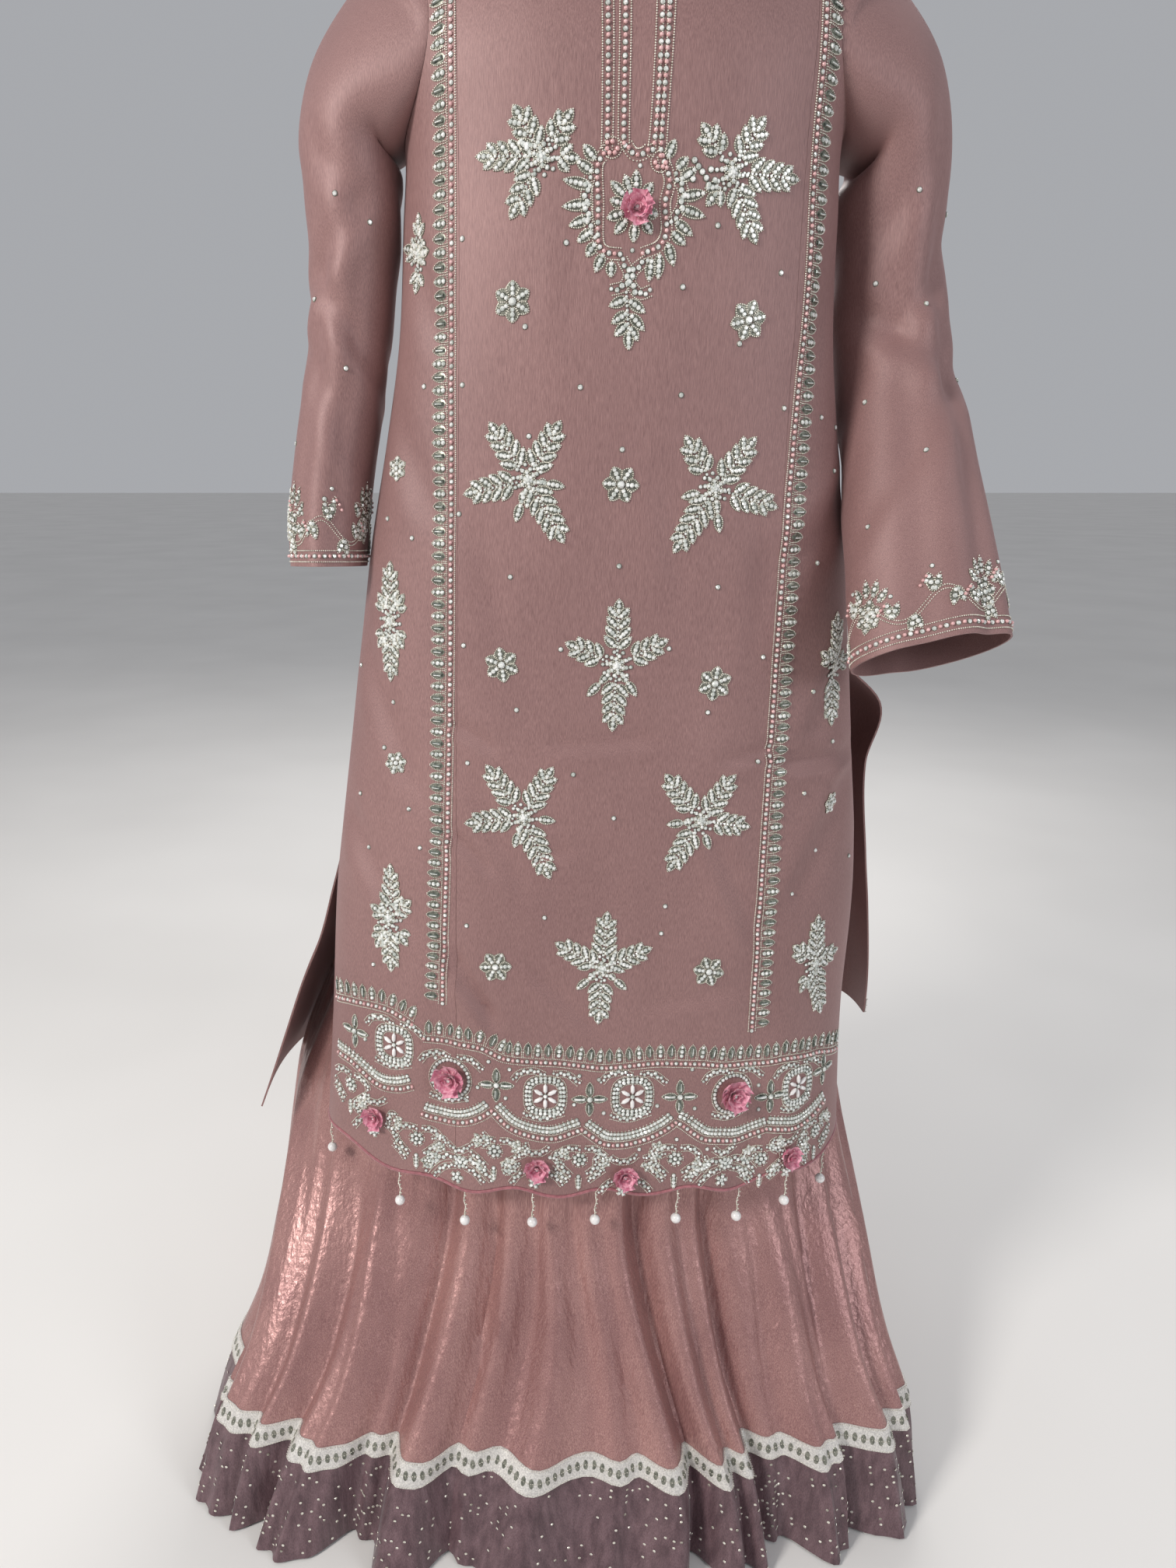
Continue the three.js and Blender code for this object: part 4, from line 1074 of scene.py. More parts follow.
def skirt_grid(heights, amount):
    z = np.asarray(heights, float)[:, None]
    angle = PLEAT_ANGLES[None, :]
    lower = smooth(*SWAY_HEIGHTS, z)
    sway = (0.03 * np.sin(z / 131 + 3 * angle) + 0.012 * np.sin(z / 57 + 8 * angle)) * lower
    strength = FOLD_STRENGTH + FOLD_VARIATION * np.sin(z / 84 + 9 * angle)
    depth = PLEAT_DEPTHS[None, :] * strength + hollows(angle, z)
    depth = depth + crinkle(angle, z, amount) * smooth(*CRINKLE_HEIGHTS, z)
    return skirt_point(angle + sway, z, depth)


SKIRT_MIDDLE = -1000
UPPER_ROWS = 20
LOWER_ROWS = 50
FLOUNCE_ROWS = 16
WAIST_ROWS = 8
WAIST_COLUMNS = 144
LACE_ROWS = 5
SKIRT_CRINKLE = 1.0
FLOUNCE_CRINKLE = 1.3


def shalwar():
    heights = np.concatenate([
        np.linspace(SKIRT_TOP, SKIRT_MIDDLE, UPPER_ROWS)[:-1],
        np.linspace(SKIRT_MIDDLE, LACE_TOP, LOWER_ROWS)[:-1],
        np.linspace(LACE_TOP, SKIRT_HEM, LACE_ROWS),
    ])
    skirt = skirt_grid(heights, SKIRT_CRINKLE)
    normals = ring_directions(skirt, level=True)
    skirt_cloth = wall("shalwar_skirt_cloth", skirt, normals, SKIRT_WALL, True, SHALWAR)
    dress(skirt_cloth, "shalwar_tissue", "shalwar_skirt")

    low = np.linspace(SKIRT_HEM - SEAM_GAP, FLOUNCE_HEM, FLOUNCE_ROWS)
    flounce = skirt_grid(low, FLOUNCE_CRINKLE)
    directions = ring_directions(flounce, True)
    flounce_cloth = wall("shalwar_flounce_cloth", flounce, directions, ORGANZA_WALL, True, ORGANZA)
    dress(flounce_cloth, "organza", "shalwar_flounce")

    around = np.linspace(0, 2 * np.pi, WAIST_COLUMNS + 1)[:-1]
    band = np.stack([
        skirt_point(around, SKIRT_TOP, 0) + np.array((0, 0, z - SKIRT_TOP))
        for z in np.linspace(WAIST_TOP, SKIRT_TOP + SEAM_GAP, WAIST_ROWS)
    ])
    outwards = ring_directions(band, True)
    waistband = wall("shalwar_waistband_cloth", band, outwards, SKIRT_WALL, True, SHALWAR)
    dress(waistband, "shalwar_tissue", "shalwar_waistband")
    return skirt, normals, flounce


skirt_points, skirt_normals, flounce_points = shalwar()


# Beads and stones: each shape has corners (A long, B across, C out of the cloth) and triangles

def ring_faces(rows, columns):
    """Triangles between rows of corners that close on themselves."""
    faces = []
    for r in range(rows - 1):
        for c in range(columns):
            a, b = r * columns + c, r * columns + (c + 1) % columns
            faces += [(a, b, b + columns), (a, b + columns, a + columns)]
    return faces


def ball(sides, rings):
    turn = np.arange(sides) * 2 * np.pi / sides
    corners = [(0, 0, -1)]
    for r in range(1, rings):
        rise = -math.cos(math.pi * r / rings)
        reach = math.sin(math.pi * r / rings)
        corners += [(reach * math.cos(t), reach * math.sin(t), rise) for t in turn]
    corners.append((0, 0, 1))
    last = len(corners) - 1
    faces = [tuple(1 + i for i in face) for face in ring_faces(rings - 1, sides)]
    for c in range(sides):
        after = (c + 1) % sides
        faces.append((0, 1 + after, 1 + c))
        faces.append((last, last - sides + c, last - sides + after))
    return np.array(corners, float), np.array(faces)


def lathed(levels, sides, capped):
    """A faceted stone or ring from rows of reach, height and half steps turned."""
    corners = []
    for reach, height, shift in levels:
        for c in range(sides):
            turn = (c + shift) * 2 * math.pi / sides
            corners.append((reach * math.cos(turn), reach * math.sin(turn), height))
    faces = ring_faces(len(levels), sides)
    if capped:
        corners.append((0, 0, levels[-1][1]))
        first = (len(levels) - 1) * sides
        faces += [(first + c, first + (c + 1) % sides, len(corners) - 1) for c in range(sides)]
    return np.array(corners, float), np.array(faces)


def ridged(outline, ridge):
    """A low leaf-shaped stone: an outline round a raised ridge along A."""
    outline = outline[::-1]
    count = len(outline)
    corners = [(a, b, 0) for a, b in outline] + [(a * 0.8, b * 0.8, 0.7) for a, b in outline]
    corners += [(-ridge, 0, 1), (ridge, 0, 1)]
    faces = ring_faces(2, count)
    ends = [int(outline[c][0] + outline[(c + 1) % count][0] > 0) for c in range(count)]
    for c in range(count):
        faces.append((count + c, count + (c + 1) % count, 2 * count + ends[c]))
        if ends[c] != ends[c - 1]:
            faces.append((count + c, 2 * count + ends[c], 2 * count + ends[c - 1]))
    return np.array(corners, float), np.array(faces)


def repeated(triangles, copies, corners):
    """A shape's triangles for each of its copies."""
    return (triangles[None] + np.arange(copies)[:, None, None] * corners).reshape(-1, 3)


def leaf_edge(share):
    """Half width of a leaf at a share of its length, as a share of its full half width."""
    return np.sin(np.pi * np.clip(share, 0, 1) ** 0.85) ** 0.75


def leaf_outline(points):
    """Places round a unit leaf, from its base at A = -1 over its tip at A = 1."""
    share = np.linspace(0, 1, points + 1)
    upper = [(2 * s - 1, float(leaf_edge(s))) for s in share[:-1]]
    lower = [(2 * s - 1, -float(leaf_edge(s))) for s in share[:0:-1]]
    return upper + lower


def chamfered_bar():
    corners = []
    for a, b, c in ((1, 1, 0), (1, 1, 0.6), (0.82, 0.5, 1)):
        corners += [(-a, -b, c), (a, -b, c), (a, b, c), (-a, b, c)]
    faces = ring_faces(3, 4) + [(8, 9, 10), (8, 10, 11)]
    return np.array(corners, float), np.array(faces)


def ruffled_petal():
    """A small petal that starts at the middle of a rosette and curls up at its rim."""
    corners = []
    across = 5
    for reach in (0.0, 0.45, 0.8, 1.0):
        for c in range(across):
            spread = (c / (across - 1) - 0.5) * 2
            rise = 0.55 * reach ** 2 + 0.3 * spread ** 2 * reach + 0.14 * math.sin(spread * 5) * reach
            corners.append((reach, spread * (0.25 + 0.6 * reach), rise))
    faces = []
    for r in range(3):
        for c in range(across - 1):
            a = r * across + c
            faces += [(a, a + across, a + across + 1), (a, a + across + 1, a + 1)]
    return np.array(corners, float), np.array(faces)


NAVETTE = [(-1, 0), (-0.6, 0.62), (0, 1), (0.6, 0.62), (1, 0), (0.6, -0.62), (0, -1), (-0.6, -0.62)]
BEAD_SHAPE = ball(4, 2)
SEED_SHAPE = ball(6, 4)
STRAND_SHAPE = ball(6, 3)
STONE_SHAPE = lathed([(0.95, 0.3, 0), (0.55, 0.85, 0.5)], 8, True)
SETTING_SHAPE = lathed([(1.22, 0, 0), (0.98, 0.4, 0)], 8, False)
DISC_SHAPE = lathed([(1, 0, 0), (0.92, 1, 0)], 10, True)
LEAF_SHAPE = ridged(leaf_outline(6), 0.4)
NAVETTE_SHAPE = ridged(NAVETTE, 0.45)
BAR_SHAPE = chamfered_bar()
KINDS = {
    "silver": (BEAD_SHAPE, SILVER, "silver_bead"),
    "crystal": (STONE_SHAPE, CRYSTAL, "crystal"),
    "setting": (SETTING_SHAPE, FOIL, "dark_crystal"),
    "foil": (LEAF_SHAPE, FOIL, "dark_crystal"),
    # Dark discs on the lace: painted shade of its eyelet holes
    "hole_shade_disc": (DISC_SHAPE, FOIL, "dark_crystal"),
    "dark_navette": (NAVETTE_SHAPE, DARK, "dark_crystal"),
    "dark_bar": (BAR_SHAPE, DARK, "dark_crystal"),
    "clear_bar": (BAR_SHAPE, CRYSTAL, "crystal"),
    "pearl": (SEED_SHAPE, PEARL, "pearl"),
    "pink": (SEED_SHAPE, PINK, "pink_bead"),
    "rose": (ruffled_petal(), ROSE, "pink_bead"),
    "rose_disc": (DISC_SHAPE, ROSE, "pink_bead"),
}
ROUND_KINDS = ("silver_bead", "seed_pearl", "pink_bead", "rosette_pink")
ROUND_SHARP = 75
FACET_SHARP = 12


class Needlework:
    """Beads and stones sewn to one surface, gathered until they are made into a mesh for each material."""

    def __init__(self, region, surface, facing=1):
        self.region = region
        self.surface = surface
        self.facing = facing
        self.sewn = {}

    def sew(self, kind, places, size, heading=0.0, tilt=0.0, lift=0.0):
        rows = np.empty((len(places), 8))
        rows[:, :2] = places
        rows[:, 2] = heading
        rows[:, 3] = tilt
        rows[:, 4:7] = size
        rows[:, 7] = lift
        self.sewn.setdefault(kind, []).append(rows)

    def metric(self, p, q):
        """Millimetres of cloth for a step of each surface coordinate."""
        across = self.surface(p + 1.0, q) - self.surface(p - 1.0, q)
        down = self.surface(p, q + 1.0) - self.surface(p, q - 1.0)
        return np.stack([np.linalg.norm(across, axis=-1), np.linalg.norm(down, axis=-1)], -1) / 2

    def placed(self, shape, rows):
        """World corners of each stone: on the cloth, square to it, turned, tilted and lifted."""
        p, q, heading, tilt, long, wide, high, lift = rows.T
        reach = 0.4
        here = self.surface(p, q)
        across = unit(self.surface(p + reach, q) - self.surface(p - reach, q))
        down = self.surface(p, q + reach) - self.surface(p, q - reach)
        out = unit(np.cross(down, across)) * self.facing
        down = unit(down - across * np.sum(down * across, -1, keepdims=True))
        forward = across * np.cos(heading)[:, None] + down * np.sin(heading)[:, None]
        sideways = np.cross(out, forward)
        lean, rise = np.cos(tilt)[:, None], np.sin(tilt)[:, None]
        forward, up = forward * lean + out * rise, out * lean - forward * rise
        world = (here + out * lift[:, None])[:, None, :]
        for i, (size, axis) in enumerate(((long, forward), (wide, sideways), (high, up))):
            world = world + shape[None, :, i, None] * size[:, None, None] * axis[:, None, :]
        return world.reshape(-1, 3)

    def make(self):
        found = {}
        for kind, batches in self.sewn.items():
            (corners, triangles), material, slot = KINDS[kind]
            rows = np.concatenate(batches)
            empty = {"material": material, "slot": slot, "at": [], "faces": [], "count": 0}
            piece = found.setdefault(material.name, empty)
            piece["at"].append(self.placed(corners, rows))
            piece["faces"].append(piece["count"] + repeated(triangles, len(rows), len(corners)))
            piece["count"] += len(rows) * len(corners)
        for name, piece in found.items():
            sharp = ROUND_SHARP if name in ROUND_KINDS else FACET_SHARP
            faces = np.concatenate(piece["faces"]).tolist()
            points = np.concatenate(piece["at"])
            mesh = make_mesh(f"{self.region}_{name}", points, faces, piece["material"], sharp)
            dress(mesh, piece["slot"])


class Patch:
    """A small flat working area round one place: A to the right and B down, in millimetres."""

    def __init__(self, work, origin):
        self.work = work
        self.origin = np.array(origin, float)
        self.metric = work.metric(*self.origin)

    def flat(self, places):
        return (np.asarray(places, float) - self.origin) * self.metric

    def place(self, points):
        return self.origin + points / self.metric, 0.0

    def put(self, kind, points, size, heading=0.0, tilt=0.0, lift=0.0):
        points = np.atleast_2d(np.asarray(points, float))
        places, turn = self.place(points)
        self.work.sew(kind, places, size, heading + turn, tilt, lift)


class Strip(Patch):
    """A working area along a path on the cloth: A along it and B to its right-hand side."""

    def __init__(self, work, path):
        self.work = work
        self.path = curved(path)
        points = work.surface(*self.path.T)
        self.reached = distances(points)
        self.length = float(self.reached[-1])
        self.metrics = work.metric(*self.path.T)
        self.runs = unit(np.gradient(self.path, self.reached, axis=0) * self.metrics)

    def place(self, points):
        at = np.clip(points[:, 0], 0, self.length)
        columns = np.concatenate([self.path, self.metrics, self.runs], 1)
        found = np.stack([np.interp(at, self.reached, column) for column in columns.T], -1)
        path, metric, run = found[:, :2], found[:, 2:4], unit(found[:, 4:])
        side = np.stack([-run[:, 1], run[:, 0]], -1)
        beyond = (points[:, 0] - at)[:, None] * run
        return path + (side * points[:, 1:] + beyond) / metric, np.arctan2(run[:, 1], run[:, 0])


def spaced(path, pitch, closed=False):
    """Even places along a path of flat points, and the heading at each."""
    path = np.asarray(path, float)
    if closed:
        path = np.concatenate([path, path[:1]])
    reached = distances(path)
    count = max(1, round(reached[-1] / pitch))
    at = np.linspace(0, reached[-1], count + 1)[: count if closed else count + 1]

    def along_path(distance):
        return np.stack([np.interp(distance, reached, path[:, i]) for i in (0, 1)], -1)

    run = along_path(at + 0.3) - along_path(at - 0.3)
    return along_path(at), np.arctan2(run[:, 1], run[:, 0])


def curved(points, per_span=8):
    """A smooth path through a few points."""
    points = np.asarray(points, float)
    padded = np.concatenate([2 * points[:1] - points[1:2], points, 2 * points[-1:] - points[-2:-1]])
    t = np.linspace(0, 1, per_span, endpoint=False)[:, None]
    path = []
    for i in range(1, len(padded) - 2):
        a, b, c, d = padded[i - 1:i + 3]
        path.append(b + 0.5 * t * (c - a + t * (2 * a - 5 * b + 4 * c - d + t * (3 * b - a - 3 * c + d))))
    return np.concatenate([*path, points[-1:]])


def beside(path, distance):
    """A path moved to its right-hand side."""
    run = unit(np.gradient(np.asarray(path, float), axis=0))
    return path + np.stack([-run[:, 1], run[:, 0]], -1) * distance


def ray(angle, length):
    """A flat vector at an angle in degrees: 0 along A, 90 along B."""
    return np.array((math.cos(math.radians(angle)), math.sin(math.radians(angle)))) * length


# Stitches. The numbers in a motif are millimetres, degrees, or shares of its own reach.

MIDDLE = np.zeros(2)
STAR_LEAF_PITCH = 9.0
STROKE_ZIGZAG = 0.45
BEAD = 0.82
BEAD_PITCH = 1.75
ROW_HALF = 3.9
ROW_PITCH = 4.6
ARCH_PITCH = 10.5
ARCH_HEIGHT = 13.5
ARCH_GAP = 1.2


def bead_line(patch, path, closed=False):
    places, _ = spaced(path, BEAD_PITCH, closed)
    patch.put("silver", places, (BEAD, BEAD, BEAD), lift=0.5)


def stones(patch, places, radius, heading=0.0, lift=0.0):
    patch.put("setting", places, (radius, radius, radius * 0.9), heading, lift=lift)
    patch.put("crystal", places, (radius, radius, radius * 0.9), heading, lift=lift)


def stone_line(patch, path, radius, pitch, lift=0.0):
    places, heading = spaced(path, pitch)
    stones(patch, places, radius, heading, lift)


def scatter(work, places, radius, lift=0.0):
    """Loose crystals, each at a place of its own."""
    for place in places:
        stones(Patch(work, place), MIDDLE, radius, lift=lift)


def leaf(patch, base, tip, width, lift=0.0):
    """A beaded leaf: foil under it, beads round it and a few stones down its middle."""
    base, tip = np.asarray(base, float), np.asarray(tip, float)
    length = float(np.linalg.norm(tip - base))
    run = (tip - base) / length
    side = np.array((-run[1], run[0]))
    middle = (base + tip) / 2
    heading = math.atan2(run[1], run[0])
    patch.put("foil", middle, (length * 0.55, width * 0.6, 0.35), heading, lift=lift)
    outline = [middle + run * a * length / 2 + side * b * width / 2 for a, b in leaf_outline(8)]
    places, _ = spaced(outline, BEAD_PITCH, True)
    patch.put("silver", places, (BEAD, BEAD, BEAD), lift=lift + 0.75)
    count = max(1, round(length / 3.9))
    for i in range(count):
        share = (i + 0.62) / (count + 0.3)
        radius = min(2.1, width * 0.33) * (0.62 + 0.42 * float(leaf_edge(share)))
        stones(patch, base + run * length * share, radius, lift=lift + 0.35)


def arm(patch, centre, tip):
    """An arm of a star: pairs of leaves along a stem, and one leaf at its tip."""
    centre, tip = np.asarray(centre, float), np.asarray(tip, float)
    length = float(np.linalg.norm(tip - centre))
    run = (tip - centre) / length
    direction = math.degrees(math.atan2(run[1], run[0]))
    leaf(patch, tip - run * 12.5, tip, 7.8)
    for i in range(max(1, int((length - 15) / STAR_LEAF_PITCH))):
        root = centre + run * (length - 11 - STAR_LEAF_PITCH * i)
        size = 11.5 + 1.2 * i
        for turn, back in ((-1, 0), (1, 1.2)):
            near = root - run * (4 + back) + ray(direction + turn * 90, 1.2)
            leaf(patch, near, root + ray(direction + turn * 52, size) - run * (3 + back), 7.8)
    stone_line(patch, [centre + run * 10, tip - run * 12], 1.3, 3.4, 0.3)


# Rings of stones in a star's middle: how many, their turn, reach, radius and lift
STAR_RINGS = ((10, 6, 12.4, 1.7, 0.3), (8, 12, 8.6, 1.9, 0.5))


def star(patch, tips, short_tips=()):
    """A star of leafy arms, with single leaves between them and a raised middle full of stones."""
    for tip in tips:
        arm(patch, MIDDLE, tip)
    for tip in short_tips:
        length = np.linalg.norm(tip)
        run = tip / length
        leaf(patch, tip - run * min(16, length - 9), tip, 7.4)
        if length > 30:
            leaf(patch, run * 9, run * (length - 15), 6.6)
    for count, turn, reach, radius, lift in STAR_RINGS:
        for i in range(count):
            stones(patch, ray(360 / count * i + turn, reach), radius, lift=lift)
    for i in range(6):
        leaf(patch, ray(60 * i + 20, 0.8), ray(60 * i + 20, 8), 5.6, 0.8)
    stones(patch, MIDDLE, 2.6, lift=1.5)


def flower(patch, centre, radius, petals=6, turn=0.0):
    for i in range(petals):
        angle = 360 * i / petals + turn
        leaf(patch, centre + ray(angle, radius * 0.24), centre + ray(angle, radius), radius * 0.66)
    stones(patch, centre, radius * 0.22, lift=0.9)


def rosette(patch, centre, radius):
    """A ruffled rose of ribbon with a stone at its heart."""
    patch.put("rose_disc", centre, (radius * 0.62, radius * 0.62, 1.2))
    for ring, (count, share, lean) in enumerate(((9, 1.0, 0.2), (8, 0.84, 0.55), (6, 0.6, 0.95))):
        for i in range(count):
            turn = 2 * math.pi * i / count + ring * 0.45 + 0.12 * math.sin(5 * i + ring)
            size = radius * share * (1 + 0.1 * math.sin(4 * i + 2 * ring))
            patch.put("rose", centre, (size, size * 0.56, size * 0.5), turn, lean, 0.6 + 0.5 * ring)
    stones(patch, centre, radius * 0.18, lift=radius * 0.34)
    for i in range(5):
        patch.put("pink", centre + ray(72 * i + 10, radius * 0.6), (0.9, 0.9, 0.9), lift=radius * 0.36)


def cross_motif(patch, centre, reach):
    """Four long stones round a crystal, each outlined with beads: dark ones up and down."""
    for angle in (0, 90, 180, 270):
        run, side = ray(angle, 1), ray(angle + 90, 1)
        middle = centre + run * reach * 0.56
        heading = math.radians(angle)
        patch.put("foil", middle, (reach * 0.5, 4.0, 0.35), heading)
        patch.put("dark_navette", middle, (reach * 0.38, 2.4, 1.8), heading, lift=0.3)
        if angle in (0, 180):
            patch.put("clear_bar", middle, (reach * 0.3, 1.1, 2.2), heading, lift=0.3)
        else:
            patch.put("clear_bar", middle + side * 0.9, (reach * 0.22, 0.5, 2.1), heading, lift=0.3)
        outline = [middle + run * a * reach * 0.46 + side * b * 3.9 for a, b in leaf_outline(8)]
        bead_line(patch, outline, True)
    stones(patch, centre, 3.0, lift=1.0)


RING_POINTS = 60


def pearl_medallion(patch, centre, radius):
    """Six long pearls round a stone, in a rounded ring of crystals."""
    for i in range(6):
        middle = centre + ray(60 * i + 30, radius * 0.42)
        size = (radius * 0.3, radius * 0.125, radius * 0.12)
        patch.put("pearl", middle, size, math.radians(60 * i + 30), lift=1.0)
    stones(patch, centre, radius * 0.12, lift=1.0)
    ring = circle(RING_POINTS)
    rounding = np.sum(np.abs(ring) ** 3, -1, keepdims=True) ** (-1 / 3)
    ring = ring * rounding * radius
    for share, pitch in ((1.0, 4.4), (0.83, 4.3)):
        places, heading = spaced(ring * share, pitch, True)
        stones(patch, centre + places, 2.0, heading, 0.2)
    bead_line(patch, centre + ring * 1.15, True)
    bead_line(patch, centre + ring * 0.7, True)


def rosette_medallion(patch, centre, radius):
    rosette(patch, centre, radius)
    ring = centre + circle(RING_POINTS) * (radius + 2.6)
    places, heading = spaced(ring, 4.2, True)
    stones(patch, places, 2.0, heading)
    bead_line(patch, centre + (ring - centre) * 1.16, True)


def stroke(patch, places, radius=2.2):
    """A curved stroke of crystals in two close rows, narrower at its ends, between two lines of beads."""
    path = curved(places)
    spots, heading = spaced(path, radius * 1.75)
    taper = 0.6 + 0.4 * np.sin(np.linspace(0.25, np.pi - 0.25, len(spots)))
    side = np.stack([-np.sin(heading), np.cos(heading)], -1)
    for i, (spot, angle, share) in enumerate(zip(spots, heading, taper)):
        offset = side[i] * radius * STROKE_ZIGZAG * share * (1 if i % 2 else -1)
        stones(patch, spot + offset, radius * share, angle, lift=0.2)
    reach = radius * (1 + STROKE_ZIGZAG) + 0.5
    bead_line(patch, beside(path, reach))
    bead_line(patch, beside(path, -reach))


def strokes(patch, rows):
    """Strokes from rows of a crystal's radius and the places on the stroke."""
    for radius, *places in rows:
        stroke(patch, places, radius)


def cluster(patch, centre, radius, count=7):
    """A tight group of round crystals."""
    stones(patch, centre, 2.3, lift=0.5)
    turn = np.arange(count) * 360 / count
    for angle in turn:
        stones(patch, centre + ray(angle, radius * 0.62), 2.1, lift=0.2)
        bead_line(patch, [centre + ray(angle - 14, radius), centre + ray(angle + 14, radius)])


def pearl_row(strip, half=ROW_HALF, pitch=ROW_PITCH, level=0.0, spare=0):
    """Pink beads and crystals in turn between two lines of beads, along a strip up to a spare end."""
    end = strip.length - spare
    places, _ = spaced([(0, level), (end, level)], pitch)
    strip.put("pink", places[::2], (1.75, 1.75, 1.75), lift=0.9)
    stones(strip, places[1::2], 2.0)
    for edge in (level - half, level + half):
        bead_line(strip, [(0, edge), (end, edge)])


ARCH_OUTLINE = [(-1, 0.02), (-0.96, 0.5), (-0.6, 0.8), (0, 1), (0.6, 0.8), (0.96, 0.5), (1, 0.02)]


def arches(patch, side, height, pitch=ARCH_PITCH, spare=2):
    """Small pointed arches along one side of a strip's row, with a dark bar or crystals in each."""
    level = side * (ROW_HALF + ARCH_GAP)
    height = side * height
    start, end = spare, patch.length - spare
    count = max(1, round((end - start) / pitch))
    step = (end - start) / count
    for i in range(count):
        middle = start + step * (i + 0.5)
        half = step * 0.42
        bead_line(patch, [(middle + half * a, level + height * rise) for a, rise in ARCH_OUTLINE])
        size = (abs(height) * 0.5, half * 0.9, 0.3)
        patch.put("foil", (middle, level + height * 0.48), size, QUARTER)
        if i % 2 == 0:
            size = (abs(height) * 0.34, 1.35, 1.7)
            patch.put("dark_bar", (middle, level + height * 0.5), size, QUARTER, lift=0.3)
            size = (abs(height) * 0.28, 0.6, 2.1)
            patch.put("clear_bar", (middle + 0.4, level + height * 0.5), size, QUARTER, lift=0.2)
        else:
            for share, radius in ((0.2, 2.1), (0.5, 2.2), (0.8, 1.7)):
                stones(patch, (middle, level + height * share), radius, lift=0.3)


# Front embroidery, placed by pixels of the photograph

def front_surface(x, drop):
    return cloth_point("front", angle_at("front", x, drop), drop)


def front_patch(work, *pixels):
    """A patch at the first pixel, and the flat places of the others."""
    places = front_places(pixels)
    patch = Patch(work, places[0])
    return patch, patch.flat(places[1:])


SIDE_BANDS = {
    "left": [(581, 168), (580, 434), (580, 700), (577, 1000), (569, 1290)],
    "right": [(1050, 168), (1034, 402), (1019, 574), (1009, 695), (987, 1016), (966, 1325)],
}
BAND_TOP = 12


def side_bands():
    work = Needlework("side_bands", front_surface)
    for side, pixels in SIDE_BANDS.items():
        places = front_places(pixels)
        path = np.concatenate([[(places[0, 0], BAND_TOP)], places])
        strip = Strip(work, path)
        pearl_row(strip)
        arches(strip, -SIDE_SIGN[side], ARCH_HEIGHT)
    work.make()


# Stars: the middle, then the tips of the arms; single leaves come after None
STARS = [
    [(696, 202), (612, 202), (656, 282), (746, 204), (737, 140), (660, 135)],
    [(941, 222), (1027, 232), (972, 314), (908, 265), (902, 158), (984, 150)],
    [(679, 617), (629, 543), (721, 541), (596, 636), (725, 698), None, (726, 626), (663, 671)],
    [(919, 628), (881, 560), (972, 562), (999, 653), (866, 711), None, (876, 640), (925, 685)],
    [(793, 856), (796, 770), (727, 826), (859, 822), (787, 940), None, (755, 895), (818, 895)],
    [(673, 1051), (625, 983), (711, 986), (598, 1058), (707, 1130), None, (714, 1056), (661, 1090)],
    [(901, 1055), (855, 995), (945, 995), (964, 1063), (858, 1120), None, (857, 1060), (912, 1092)],
    [(774, 1245), (781, 1172), (714, 1212), (838, 1218), (769, 1317), None, (741, 1272), (805, 1272)],
    [(502, 799), (502, 722), (487, 762), (519, 764), (486, 832), (502, 876), (519, 834)],
    [(500, 1180), (501, 1111), (478, 1162), (528, 1158), (484, 1218), (503, 1249), (524, 1216)],
    [(536, 326), (538, 274), (520, 320), (550, 322), (533, 378)],
    [(1073, 858), (1076, 787), (1055, 838), (1090, 842), (1068, 933)],
    [(1047, 1238), (1052, 1176), (1020, 1216), (1076, 1218), (1028, 1276), (1054, 1302)],
]
FLOWERS = [
    (659, 388), (962, 412), (798, 623), (645, 855), (919, 879), (637, 1243), (911, 1249),
    (512, 603), (509, 981), (1068, 1032), (1084, 661),
]
FLOWER_RADIUS = 15.5
SIDE_FLOWER_RADIUS = 11
CENTRE_FLOWERS = 7
SINGLE_RADIUS = 2.1
SINGLES = [
    (594, 307), (728, 312), (675, 420), (594, 495), (746, 498), (876, 508), (1008, 525), (923, 290),
    (878, 369), (1004, 351), (951, 442), (545, 497), (800, 578), (680, 561), (590, 661), (530, 692),
    (499, 667), (656, 742), (796, 728), (923, 755), (596, 830), (721, 835), (860, 834), (982, 845),
    (664, 913), (910, 916), (601, 981), (974, 979), (737, 996), (789, 1052), (855, 1165), (1034, 1020),
    (1051, 1094), (465, 855), (504, 903), (495, 961), (526, 1040), (463, 1020), (1055, 537), (1070, 606),
    (1073, 550), (1051, 724), (1088, 730), (1044, 889),
    (1070, 953), (700, 1180), (850, 1200), (600, 1190),
    (470, 1090), (540, 1090), (480, 1240), (1090, 1100), (1020, 1150),
]
LOOSE_CRYSTALS = [
    (893, 206), (898, 214), (885, 224), (891, 230), (903, 221),
    (908, 229), (914, 218), (911, 238), (919, 232),
]


def front_motifs():
    work = Needlework("front_motifs", front_surface)
    for pixels in STARS:
        split = pixels.index(None) if None in pixels else len(pixels)
        patch, tips = front_patch(work, *pixels[:split], *pixels[split + 1:])
        star(patch, tips[:split - 1], tips[split - 1:])
    for i, pixel in enumerate(FLOWERS):
        patch, _ = front_patch(work, pixel)
        radius = FLOWER_RADIUS if i < CENTRE_FLOWERS else SIDE_FLOWER_RADIUS
        flower(patch, MIDDLE, radius, turn=30 + 17 * i)
    scatter(work, front_places(SINGLES), SINGLE_RADIUS)
    scatter(work, front_places(LOOSE_CRYSTALS), 2.3, 0.3)
    work.make()


